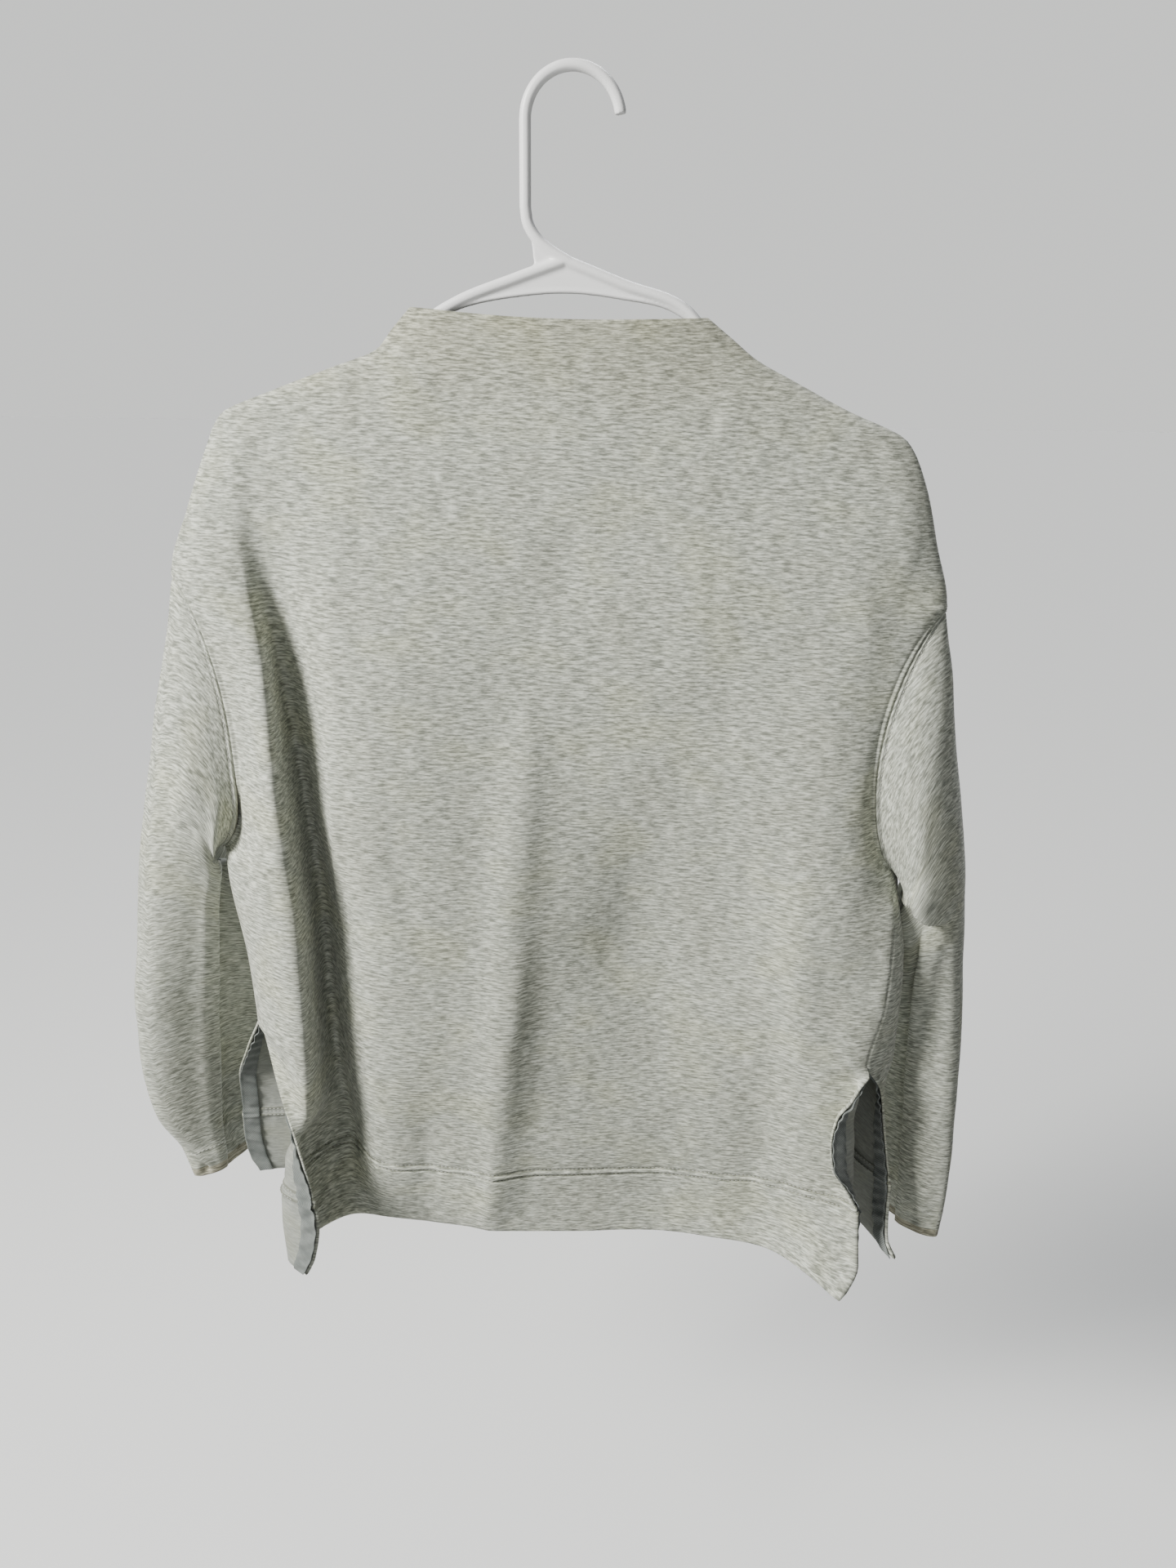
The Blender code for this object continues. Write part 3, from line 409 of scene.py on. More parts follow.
# Unevenness of the cloth, as height and spacing of its bumps, and how far from an edge it fades.
PANEL_BUMPS = ((0.55, 34.0), (0.8, 88.0))
SLEEVE_BUMPS = ((0.6, 30.0), (0.9, 70.0))
PANEL_FADE = 10.0
SLEEVE_FADE = 9.0
NOISE_SHIFT = (17.3, 5.1, 11.7)
# How much a crease's height varies along it, over what length, and how sharp its ridge is.
CREASE_SWAY = 0.35
SWAY_LENGTH = 31.0
CREASE_POWER = 1.5
# Rumples of the slit tapes: height that all have, height and spacing of the waves and of the slow
# swell, how far a wave runs slanting, how it drifts, how its height varies.
RUMPLE = 0.8
RUMPLE_WAVE = (0.8, 1.5)
RUMPLE_SWELL = (0.25, 5.3)
RUMPLE_SLANT = 4.0
RUMPLE_DRIFT = (1.7, 11.0)
RUMPLE_SHARE = (0.3, 9.0)

# The camera: a phone's wide lens, looking down a little.
CAMERA_PLACE = (0.013669, -0.75, -0.1615)
CAMERA_PITCH = 19.0
CAMERA_ROLL = 0.79
FOCAL_PIXELS = 1442.0
PHOTO_HEIGHT = 1920.0
SENSOR = 36.0


# ---- curves and tables
def hermite(t, start, end, span, out_of_start, into_end):
    """Cubic between two values with the given slopes at its ends; t runs from 0 to 1."""
    near = (1.0 + 2.0 * t) * (1.0 - t) ** 2 * start + t * (1.0 - t) ** 2 * span * out_of_start
    return near + t * t * (3.0 - 2.0 * t) * end + t * t * (t - 1.0) * span * into_end


def smooth_curve(places, values, at):
    """Values at new places on a curve that passes the given ones and never overshoots them."""
    order = np.argsort(places)
    x = np.asarray(places, float)[order]
    y = np.asarray(values, float)[order]
    step = np.diff(x)
    slope = np.diff(y) / step
    tangent = np.concatenate((slope[:1], np.zeros(len(y) - 2), slope[-1:]))
    for i in range(1, len(y) - 1):
        if slope[i - 1] * slope[i] > 0.0:
            before = 2.0 * step[i] + step[i - 1]
            after = step[i] + 2.0 * step[i - 1]
            tangent[i] = (before + after) / (before / slope[i - 1] + after / slope[i])
    at = np.clip(np.asarray(at, float), x[0], x[-1])
    part = np.clip(np.searchsorted(x, at, side="right") - 1, 0, len(step) - 1)
    t = (at - x[part]) / step[part]
    return hermite(t, y[part], y[part + 1], step[part], tangent[part], tangent[part + 1])


def lookup(table, column, level):
    """One column of a table at a level."""
    return smooth_curve([row[0] for row in table], [row[column] for row in table], level)


def distances(points, axis=0):
    """Distance from the first point along one axis of a line or grid of points."""
    step = np.linalg.norm(np.diff(points, axis=axis), axis=-1)
    return np.insert(np.cumsum(step, axis=axis), 0, 0.0, axis=axis)


def ease(share):
    """A smooth step from 0 to 1."""
    share = np.clip(share, 0.0, 1.0)
    return share * share * (3.0 - 2.0 * share)


def armhole_point(armhole, angle):
    """Point on half an armhole's seam; angle 0 is the top, 180 degrees the underarm."""
    top_x, top_z, low_x, low_z, depth, bow = armhole
    share = 0.5 + 0.5 * math.cos(angle)
    x = low_x + (top_x - low_x) * share + bow * math.sin(angle) ** BOW_SHAPE
    return x, depth * math.sin(angle), low_z + (top_z - low_z) * share


def row_levels():
    """Levels of the panels' rows from the hem up; the armhole's rows are even in angle."""
    levels = []
    for (low, steps), (high, _) in zip(ROW_STEPS, ROW_STEPS[1:]):
        if steps:
            levels += [low + (high - low) * i / steps for i in range(steps)]
        else:
            for i in range(ARMHOLE_STEPS):
                share = 0.5 - 0.5 * math.cos(math.pi * i / ARMHOLE_STEPS)
                levels.append(low + (high - low) * share)
    return levels + [NECK_TOP]


def edge(level, left, slit, armhole, front):
    """Edge of a panel at a level: x, y and the angle by which the cloth turns inwards there."""
    if level < SLIT_TOP:
        return tuple(float(lookup(slit, column, level)) for column in (1, 2, 3))
    if UNDERARM < level < ARMHOLE_TOP:
        share = (level - UNDERARM) / (ARMHOLE_TOP - UNDERARM)
        angle = math.acos(2.0 * share - 1.0)
        x, y, _ = armhole_point(armhole, angle)
        return x, -y if front else y, SEAM_TURN - ARMHOLE_TURN * math.sin(angle)
    side = 1 if left else 2
    x = float(lookup(OUTLINE, side, level))
    if level >= ARMHOLE_TOP:
        return x, 0.0, SEAM_TURN
    y = float(lookup(SIDE_SEAM, side, level))
    turned = SIDE_TURN * y / SIDE_SEAM[-1][2]
    return x, y, SEAM_TURN - turned if front else SEAM_TURN + turned


def section_curve(points, first_turn, last_turn, front, counts):
    """Plan curve through a section's points, sampled with a number of steps in every part."""
    p = np.asarray(points, float)
    chord = np.sqrt(((p[1:] - p[:-1]) ** 2).sum(1))
    knot = np.concatenate(([0.0], np.cumsum(np.maximum(chord, SHORTEST_CHORD) ** KNOT_POWER)))
    tangent = np.zeros_like(p)
    for i in range(1, len(p) - 1):
        before = (p[i] - p[i - 1]) / (knot[i] - knot[i - 1])
        after = (p[i + 1] - p[i]) / (knot[i + 1] - knot[i])
        share = (knot[i] - knot[i - 1]) / (knot[i + 1] - knot[i - 1])
        tangent[i] = before * (1.0 - share) + after * share
    out = -1.0 if front else 1.0
    last = len(p) - 1
    for end, near, turn, inward in ((0, 0, first_turn, 1.0), (last, last - 1, last_turn, -1.0)):
        angle = math.radians(turn)
        way = np.array((inward * math.cos(angle), out * math.sin(angle)))
        tangent[end] = way * chord[near] / (knot[near + 1] - knot[near]) * inward
    t = np.linspace(0.0, 1.0, CURVE_SAMPLES)[:, None]
    curve = [p[:1]]
    for i, (count, before, after) in enumerate(zip(counts, tangent, tangent[1:])):
        span = knot[i + 1] - knot[i]
        part = hermite(t, p[i], p[i + 1], span, before, after)
        length = distances(part)
        at = np.linspace(0.0, length[-1], count + 1)
        bands = np.array(EDGE_BANDS) * min(1.0, EDGE_SHARE * length[-1] / EDGE_BANDS[-1])
        if i == 0:
            rest = np.linspace(bands[-1], length[-1], count - len(bands) + 2)
            at = np.concatenate((bands[:-1], rest))
        if i == len(counts) - 1:
            rest = np.linspace(0.0, length[-1] - bands[-1], count - len(bands) + 2)
            at = np.concatenate((rest, length[-1] - bands[-2::-1]))
        curve.append(np.stack([np.interp(at[1:], length, part[:, k]) for k in (0, 1)], 1))
    return np.concatenate(curve)


def fold_height(folds, x, level):
    """Height that the soft folds add at a place."""
    total = np.zeros_like(x)
    for top_x, top, low_x, low, half_width, height in folds:
        share = np.clip((top - level) / (top - low), 0.0, 1.0)
        middle = top_x + (low_x - top_x) * share
        fade = np.clip((top - level) / FOLD_START, 0.0, 1.0)
        fade *= np.clip((level - low) / FOLD_END, 0.0, 1.0)
        total += height * ease(fade) * np.exp(-((x - middle) / half_width) ** 2)
    return total


# ---- grids of points
def normals(grid, flip, closed=False):
    """Normals of a grid of points."""
    if closed:
        across = np.roll(grid, -1, 1) - np.roll(grid, 1, 1)
    else:
        across = np.gradient(grid, axis=1)
    up = np.gradient(grid, axis=0)
    cross = np.cross(across, up)
    return flip * cross / np.maximum(np.linalg.norm(cross, axis=2, keepdims=True), 1e-9)


def ripple(points, size, seed):
    """Smooth noise from -1 to 1 at each point of a grid; size is the bumps' spacing in mm."""
    shift = Vector([seed * step for step in NOISE_SHIFT])
    flat = [noise.noise(Vector(point) / size + shift) for point in points.reshape(-1, 3)]
    return np.array(flat).reshape(points.shape[:2])


def crease_height(creases, x, level):
    """Height that the looks' own creases add at a grid's places."""
    total = np.zeros_like(x)
    for top_x, top, low_x, low, half_width, height, taper in creases:
        run = np.array((low_x - top_x, low - top), float)
        length = float(np.hypot(*run))
        run /= length
        along = (x - top_x) * run[0] + (level - top) * run[1]
        aside = (x - top_x) * run[1] - (level - top) * run[0]
        fade = ease(along / taper) * ease((length - along) / taper)
        sway = 1.0 + CREASE_SWAY * np.sin(along / SWAY_LENGTH + top_x)
        total += height * sway * fade * np.exp(-np.abs(aside / half_width) ** CREASE_POWER)
    return total


def ridges(distance, rows):
    """Height of rounded ridges and grooves at a distance from the line that they follow."""
    return sum(height * np.exp(-((distance - place) / width) ** 2) for place, width, height in rows)


def uneven(points, bumps, seed):
    """Height of the cloth's unevenness at each point of a grid."""
    return sum(height * ripple(points, size, seed + i) for i, (height, size) in enumerate(bumps))


def hem_relief(level, x, hem, seed):
    """The hem's needle rows, with small puckers on both sides."""
    away = level - hem
    single, group, drift = PUCKERS
    pucker = np.sin(x / single + PUCKER_DRIFT * np.sin(x / drift + seed)) * np.sin(x / group + seed)
    return ridges(away, HEM_RIDGES) + pucker * ridges(away, PUCKER_RIDGES)


def warp(points):
    """Move the cloth near each warp's place."""
    moved = points.copy()
    for place, radii, shift in WARPS:
        away = (points - np.array(place)) / np.array(radii)
        moved += np.exp(-(away ** 2).sum(axis=2))[:, :, None] * np.array(shift)
    return moved


def panel_grid(front, levels, counts):
    """Outer points of a panel, one row per level."""
    sections = FRONT_SECTIONS if front else BACK_SECTIONS
    folds = FRONT_FOLDS if front else BACK_FOLDS
    slits = (FRONT_SLIT_LEFT, FRONT_SLIT_RIGHT) if front else (BACK_SLIT_LEFT, BACK_SLIT_RIGHT)
    out = -1.0 if front else 1.0
    inner = np.stack([lookup(sections, i, levels) for i in range(1, len(sections[0]))], 1)
    slope = lookup(OUTLINE, 3, levels)
    rows = []
    for row, level in enumerate(levels):
        left = edge(level, True, slits[0], ARMHOLE_LEFT, front)
        right = edge(level, False, slits[1], ARMHOLE_RIGHT, front)
        points = [left[:2]] + list(zip(inner[row, 0::2], inner[row, 1::2])) + [right[:2]]
        plan = section_curve(points, left[2], right[2], front, counts)
        x, y = plan[:, 0], plan[:, 1]
        width = right[0] - left[0]
        inside = np.clip(np.minimum(x - left[0], right[0] - x) / (FOLD_MARGIN * width), 0.0, 1.0)
        y = y + out * fold_height(folds, x, level) * inside
        z = level - x * slope[row]
        rise = max(0.0, (level - NECK_FOOT) / (NECK_TOP - NECK_FOOT))
        middle = 1.0 - ((x - 0.5 * (left[0] + right[0])) / (0.5 * width)) ** 2
        z = z - NECK_DIP * rise * np.clip(middle, 0.0, 1.0)
        if front:
            fall = max(0.0, (CORNER_TOP - level) / (CORNER_TOP - FRONT_HEM))
            corner = np.clip((x - CORNER_START) / CORNER_WIDTH, 0.0, 1.0)
            z = z - CORNER_FALL * corner * corner * fall
            for hollow_x, middle, wide, high, depth in FRONT_HOLLOWS:
                away = ((x - hollow_x) / wide) ** 2 + ((level - middle) / high) ** 2
                y = y + depth * np.exp(-away)
        rows.append(np.stack((x, y, z), 1))
    return warp(np.array(rows))


def panel_skins(front, levels, counts, hem, creases, seed):
    """Outer and inner skin of a panel with its fine relief, and its flat cloth coordinates."""
    grid = panel_grid(front, levels, counts)
    flip = 1.0 if front else -1.0
    level = np.repeat(np.asarray(levels)[:, None], grid.shape[1], 1)
    from_left = distances(grid, 1)
    aside = np.minimum(from_left, from_left[:, -1:] - from_left)
    relief = crease_height(creases, grid[:, :, 0], level) + uneven(grid, PANEL_BUMPS, seed)
    relief *= ease(aside / PANEL_FADE)
    relief += hem_relief(level, from_left, hem, seed)
    armhole = (level > UNDERARM - ARMHOLE_MARGIN) & (level < ARMHOLE_TOP + ARMHOLE_MARGIN)
    relief += np.where(armhole, ridges(aside, SEAM_RIDGES), ridges(aside, EDGE_RIDGES))
    outward = normals(grid, flip)
    outer = grid + outward * relief[:, :, None]
    layers = 1.0 + (HEM_LAYERS - 1.0) * ease((hem - np.asarray(levels)) / 2.0)
    inner = outer - outward * (CLOTH * layers)[:, None, None]
    centre = int(np.argmin(np.abs(grid[len(levels) // 2, :, 0])))
    across = from_left - from_left[:, centre:centre + 1]
    cloth = np.stack((across, level - hem + HEM_LINE), 2) * MM
    return outer, inner, cloth


def ring_fold(folds, station, angle):
    """Height that the folds across a sleeve add round one ring."""
    total = np.zeros_like(angle)
    for ring_a, turn_a, ring_b, turn_b, above, below, height, tuck in folds:
        share = (np.degrees(angle) - turn_a) / (turn_b - turn_a)
        middle = ring_a + (ring_b - ring_a) * share
        ends = np.clip(4.0 * share + 0.6, 0.0, 1.0) * np.clip(4.6 - 4.0 * share, 0.0, 1.0)
        ends *= min(1.0, station / SEAM_FADE)
        offset = station - middle
        wide = np.where(offset < 0.0, above, below)
        total += height * ends * np.exp(-(offset / wide) ** 2)
        total -= tuck * ends * np.exp(-((offset - 2.0 * below) / below) ** 2)
    return total


def crowd(centre, count):
    """Angles round a ring, close together at a crease."""
    turns = np.radians(np.arange(0.0, 360.0, 0.5))
    apart = np.degrees(turns) - centre
    dense = 1.0 + CROWD_EXTRA * np.exp(-(apart / CROWD_WIDTH) ** 2)
    total = np.concatenate(([0.0], np.cumsum(dense)))
    return np.interp(np.linspace(0.0, total[-1], count + 1)[:-1], total, np.append(turns, 2.0 * math.pi))


def sleeve_grid(table, folds, armhole, stations, tilt, lobes, lap, pushes):
    """Outer points of a sleeve: one ring per station from the armhole to the cuff."""
    keys = np.arange(len(table), dtype=float)
    columns = [smooth_curve(keys, [row[i] for row in table], stations) for i in range(8)]
    lobe = [lookup(lobes, i, stations) for i in (1, 2, 3)]
    lobe[1] = lobe[1] * ease((stations - lobes[0][0]) / LOBE_START)
    bow = armhole[5]
    inward = 1.0 if armhole[0] < 0.0 else -1.0
    last = len(table) - 1.0
    rings = []
    for station, crease, tuck, over, *row in zip(stations, *lobe, *columns):
        out_x, out_z, in_x, in_z, mid_y, depth, left_bow, turn = row
        angles = crowd(crease, SLEEVE_COLUMNS)
        round_degrees = np.degrees(angles)
        share = 0.5 + 0.5 * np.cos(angles)
        x = in_x + (out_x - in_x) * share
        x = x + bow * left_bow * np.abs(np.sin(angles)) ** BOW_SHAPE
        z = in_z + (out_z - in_z) * share
        y = -(depth + ring_fold(folds, station, angles)) * np.sin(angles)
        past = round_degrees - crease
        behind = ease(0.5 + 0.5 * past / LOBE_EDGE) * (1.0 - ease((past - LOBE_FLAT) / LOBE_REACH))
        y = y + tuck * (behind + ridges(past, LOBE_RIDGES))
        x = x + inward * over * ridges(past, LOBE_LAP_RIDGES)
        if lap:
            edge_ring, deep, droop = (lookup(lap, i, round_degrees) for i in (1, 2, 3))
            below = station - edge_ring
            tucked = ease(0.5 + 0.5 * below / LAP_EDGE) * np.exp(-np.clip(below, 0.0, None) / LAP_REACH)
            y = y + deep * (tucked + ridges(below, LAP_RIDGES))
            z = z + droop * ridges(below, LIP_RIDGES)
        mid_x = 0.5 * (out_x + in_x)
        turned = math.radians(turn)
        dx = x - mid_x
        x = mid_x + dx * math.cos(turned) - y * math.sin(turned)
        y = mid_y + dx * math.sin(turned) + y * math.cos(turned)
        lower = min(1.0, max(0.0, (station - last) / CUFF_RINGS + 1.0)) ** 2
        z = z + tilt * lower * np.sin(angles)
        ring = np.stack((x, y, z), 1)
        for at_ring, at_turn, rings_wide, turn_wide, *shift in pushes:
            apart = (round_degrees - at_turn + 180.0) % 360.0 - 180.0
            near = np.exp(-(apart / turn_wide) ** 2 - ((station - at_ring) / rings_wide) ** 2)
            ring += (near * min(1.0, station / SEAM_FADE))[:, None] * np.array(shift)
        rings.append(ring)
    return warp(np.array(rings))


def sleeve_skins(table, folds, armhole, tilt, seed, lobes, lap, pushes):
    """Outer and inner skin of a sleeve, and its flat cloth coordinates measured from the cuff."""
    last = len(table) - 1.0
    starts = (0.0, SEAM_RINGS[1], last - CUFF_END_RINGS[1])
    ends = (SEAM_RINGS[0], last - CUFF_END_RINGS[0], last)
    stations = np.concatenate([np.linspace(*part) for part in zip(starts, ends, SLEEVE_ROWS)])
    grid = sleeve_grid(table, folds, armhole, stations, tilt, lobes, lap, pushes)
    flip = -1.0 if armhole[0] < 0.0 else 1.0
    from_top = distances(grid)
    from_cuff = from_top[-1:] - from_top
    relief = uneven(grid, SLEEVE_BUMPS, seed) * ease(from_top / SLEEVE_FADE) + ridges(from_top, SEAM_RIDGES)
    outward = normals(grid, flip, True)
    outer = grid + outward * relief[:, :, None]
    inner = outer - outward * CLOTH
    step = np.roll(grid, -1, 1) - grid
    along = np.gradient(grid, axis=0)
    along /= np.linalg.norm(along, axis=2, keepdims=True)
    aside = np.linalg.norm(step - (step * along).sum(axis=2, keepdims=True) * along, axis=2)
    around = np.insert(np.cumsum(aside, axis=1), 0, 0.0, axis=1)
    skew = SKEW * (1.0 - ease(stations / SKEW_REACH))[:, None]
    up = from_cuff + skew * (from_cuff.mean(axis=1, keepdims=True) - from_cuff)
    up = np.concatenate((up, up[:, :1]), 1)
    return outer, inner, np.stack((around, up), 2) * MM


# ---- meshes
RIM_STEPS = (0.2, 0.5, 0.8)
RIM_BULGE = 0.45


def new_piece(name, mesh, looks):
    """Put a mesh in the scene with its materials."""
    made = bpy.data.objects.new(name, mesh)
    for look in looks:
        made.data.materials.append(look)
    bpy.context.scene.collection.objects.link(made)
    return made


def border(rows, columns, closed):
    """The grid's open edges as loops of (row, column, next row inwards, next column inwards)."""
    if closed:
        return [[(0, c, 1, c) for c in range(columns + 1)],
                [(rows - 1, c, rows - 2, c) for c in range(columns, -1, -1)]]
    loop = [(0, c, 1, min(max(c, 1), columns - 2)) for c in range(columns)]
    loop += [(r, columns - 1, min(max(r, 1), rows - 2), columns - 2) for r in range(1, rows)]
    loop += [(rows - 1, c, rows - 2, min(max(c, 1), columns - 2)) for c in range(columns - 2, -1, -1)]
    loop += [(r, 0, min(max(r, 1), rows - 2), 1) for r in range(rows - 2, -1, -1)]
    return [loop]


def shell(name, outer, inner, cloth, closed, looks):
    """Thin closed shell between two skins, its edges rounded, with flat cloth coordinates as UVs."""
    rows, columns = outer.shape[:2]
    count = rows * columns
    points = [outer.reshape(-1, 3), inner.reshape(-1, 3)]
    row, column = np.meshgrid(np.arange(rows - 1), np.arange(columns if closed else columns - 1),
                              indexing="ij")
    row, column = row.ravel(), column.ravel()
    corners = [(row, column), (row, column + 1), (row + 1, column + 1), (row + 1, column)]
    index = np.stack([r * columns + c % columns for r, c in corners], 1)
    place = np.stack([cloth[r, c] for r, c in corners], 1)
    faces = [index, index[:, ::-1] + count]
    places = [place, place[:, ::-1]]
    used = 2 * count
    for loop in border(rows, columns, closed):
        own = len(loop) if not closed else len(loop) - 1
        at = np.array(loop)
        near, far = outer[at[:own, 0], at[:own, 1] % columns], inner[at[:own, 0], at[:own, 1] % columns]
        away = near - outer[at[:own, 2], at[:own, 3] % columns]
        away /= np.maximum(np.linalg.norm(away, axis=1, keepdims=True), 1e-9)
        wall = np.linalg.norm(near - far, axis=1, keepdims=True)
        for step in RIM_STEPS:
            out = away * wall * RIM_BULGE * math.sin(math.pi * step)
            points.append(near + (far - near) * step + out)
        ids = [at[:, 0] * columns + at[:, 1] % columns]
        ids += [used + k * own + np.arange(len(loop)) % own for k in range(len(RIM_STEPS))]
        ids += [ids[0] + count]
        used += own * len(RIM_STEPS)
        uv = cloth[at[:, 0], np.minimum(at[:, 1], cloth.shape[1] - 1)]
        here = np.arange(own)
        after = (here + 1) % len(loop)
        for near_ids, far_ids in zip(ids, ids[1:]):
            faces.append(np.stack((near_ids[after], near_ids[here], far_ids[here], far_ids[after]), 1))
            places.append(np.stack((uv[after], uv[here], uv[here], uv[after]), 1))
    faces = np.concatenate(faces)
    places = np.concatenate(places)
    keep = np.array([len(set(face)) == 4 for face in faces.tolist()])
    inside = np.zeros(len(faces), int)
    inside[len(index):2 * len(index)] = 1
    mesh = bpy.data.meshes.new(name)
    mesh.from_pydata((np.concatenate(points) * MM).tolist(), [], faces[keep].tolist())
    layer = mesh.uv_layers.new(name="cloth")
    layer.data.foreach_set("uv", places[keep].reshape(-1).astype(np.float32))
    mesh.polygons.foreach_set("material_index", (inside[keep] * (len(looks) > 1)).astype(np.int32))
    mesh.shade_smooth()
    mesh.update()
    made = new_piece(name, mesh, looks)
    face_out(made)
    return made


def face_out(piece):
    """Turn the faces of a closed shell outwards."""
    build = bmesh.new()
    build.from_mesh(piece.data)
    bmesh.ops.recalc_face_normals(build, faces=build.faces)
    if build.calc_volume(signed=True) < 0.0:
        bmesh.ops.reverse_faces(build, faces=build.faces)
    build.to_mesh(piece.data)
    build.free()


# ---- materials
def linear(code):
    """An sRGB hex colour as linear RGBA."""
    values = [int(code[i:i + 2], 16) / 255.0 for i in (1, 3, 5)]
    return (*[v / 12.92 if v <= 0.04045 else ((v + 0.055) / 1.055) ** 2.4 for v in values], 1.0)


WAVE = math.pi / 10.0  # a Wave texture of scale 1 repeats after this length
CLOTH_SPECULAR = 0.25
# Streaks in the cloth: size along a course, size up the cloth, detail.
WIDE_STREAKS = (10.0, 1.4, 2.0)
FINE_STREAKS = (4.5, 0.75, 2.0)
PATCHES = (60.0, 45.0, 2.0)
LOOPS = (1.3, 0.9, 1.0)
WORN_SPOTS = (9.0, 6.0, 3.0)
# Heights along the panels, in metres: their middle and half length, where the yellowing fades out.
PANEL_SPAN = (-0.4, 0.39)
YELLOWED = (-0.20, -0.13)
YELLOW_MOST = 0.6
CUFF_WEAR = 6.5
CUFF_TINT = linear("#e9e1d6")
NECK_TINT = linear("#ded8c8")
# Painted shade: a band along each of the hem's needle rows is darkened in the knit's colour, standing in for
# shade in the stitch grooves.
PAINTED_NEEDLE_SHADE = linear("#cfcfc8")
NEEDLE_ROWS = (0.0, 5.0)
NEEDLE_SHADE_WIDTH = 0.9
TAPE_RIBS = 1.1
THREAD_TWIST = 0.7


def add(tree, kind, settings=None, **inputs):
    """Add a node; settings are its properties, inputs its sockets, as values or (node, socket)."""
    made = tree.nodes.new(kind)
    for name, value in (settings or {}).items():
        setattr(made, name, value)
    for name, value in inputs.items():
        key = int(name[1:]) if name[0] == "_" else name.replace("_", " ")
        if isinstance(value, tuple) and isinstance(value[0], bpy.types.Node):
            tree.links.new(value[0].outputs[value[1]], made.inputs[key])
        else:
            made.inputs[key].default_value = value
    return made


def mixed(tree, factor, first, second):
    """A number between two others."""
    return add(tree, "ShaderNodeMix", {"data_type": "FLOAT"}, Factor=factor, A=first, B=second), 0


def tinted(tree, factor, colour, tint):
    """A colour multiplied by a tint, as far as the factor says."""
    kind = {"data_type": "RGBA", "blend_type": "MULTIPLY"}
    return add(tree, "ShaderNodeMix", kind, _0=factor, _6=colour, _7=tint), 2


def computed(tree, operation, *values):
    """The result of a Math node."""
    sockets = {f"_{i}": value for i, value in enumerate(values)}
    return add(tree, "ShaderNodeMath", {"operation": operation}, **sockets), 0


def ramp(tree, factor, stops):
    """The colour from a ramp with the given places and hex colours."""
    made = add(tree, "ShaderNodeValToRGB", Fac=factor)
    while len(made.color_ramp.elements) < len(stops):
        made.color_ramp.elements.new(0.5)
    for element, (place, code) in zip(made.color_ramp.elements, stops):
        element.position = place
        element.color = linear(code)
    return made, "Color"


def principled(name, **constants):
    """A new material whose Principled shader has these constant sockets."""
    made = bpy.data.materials.new(name)
    made.use_nodes = True
    shader = made.node_tree.nodes["Principled BSDF"]
    for key, value in constants.items():
        shader.inputs[key.replace("_", " ")].default_value = value
    return made, made.node_tree, shader


def dress(tree, shader, colour=None, height=None, strength=0.0, depth=0.0):
    """Give a shader its colour, and the bump of a height."""
    if colour:
        tree.links.new(colour[0].outputs[colour[1]], shader.inputs["Base Color"])
    if height:
        bump = add(tree, "ShaderNodeBump", Strength=strength, Distance=depth * MM, Height=height)
        tree.links.new(bump.outputs["Normal"], shader.inputs["Normal"])


def streaks(tree, across, up, detail):
    """Noise drawn out along the knit's courses; across and up are a streak's sizes in mm."""
    cloth = add(tree, "ShaderNodeUVMap", {"uv_map": "cloth"})
    drawn = add(tree, "ShaderNodeMapping", Vector=(cloth, "UV"),
                Scale=(1.0 / (across * MM), 1.0 / (up * MM), 1.0))
    return add(tree, "ShaderNodeTexNoise", {"noise_dimensions": "2D"}, Vector=(drawn, "Vector"),
               Scale=1.0, Detail=detail, Roughness=0.55), "Fac"


def heather_knit(name, dark, middle, light, contrast, course_bump):
    """Brushed double knit of cotton and viscose, spun from dark, grey and white fibres.

    Fibres of one colour lie together for 6 to 12 mm along a course about 1 mm high, so the cloth
    shows short level streaks.  It has no shine but a soft nap that pales it at grazing angles.
    """
    made, tree, shader = principled(name, Roughness=0.93, Sheen_Weight=0.22, Sheen_Roughness=0.45,
                                    Specular_IOR_Level=CLOTH_SPECULAR)
    wide = streaks(tree, *WIDE_STREAKS)
    both = mixed(tree, 0.42, wide, streaks(tree, *FINE_STREAKS))
    half = 0.5 * contrast
    yarn = ramp(tree, both, ((0.5 - half, dark), (0.5, middle), (0.5 + half, light)))
    tint = ramp(tree, streaks(tree, *PATCHES), ((0.3, "#fbfaf8"), (0.5, "#ffffff"), (0.7, "#fffef6")))
    colour = tinted(tree, 1.0, yarn, tint)
    cloth = add(tree, "ShaderNodeUVMap", {"uv_map": "cloth"})
    up = (add(tree, "ShaderNodeSeparateXYZ", Vector=(cloth, "UV")), "Y")
    cuff = computed(tree, "COMPARE", up, 0.0, CUFF_WEAR * MM)
    colour = tinted(tree, cuff, colour, CUFF_TINT)
    panel = computed(tree, "COMPARE", up, *PANEL_SPAN)
    low, high = YELLOWED
    near_neck = add(tree, "ShaderNodeMapRange", Value=up, _1=low, _2=high, _3=0.0, _4=YELLOW_MOST)
    yellowed = computed(tree, "MULTIPLY", (near_neck, 0), panel)
    colour = tinted(tree, yellowed, colour, NECK_TINT)
    # Painted shade: the knit's colour is tinted darker in a narrow band at each needle row of the hem.
    for drop in NEEDLE_ROWS:
        painted_row_shade = computed(tree, "COMPARE", up, (HEM_LINE - drop) * MM, NEEDLE_SHADE_WIDTH * MM)
        colour = tinted(tree, painted_row_shade, colour, PAINTED_NEEDLE_SHADE)
    dress(tree, shader, colour, mixed(tree, 0.5, wide, streaks(tree, *LOOPS)), course_bump, 0.6)
    return made


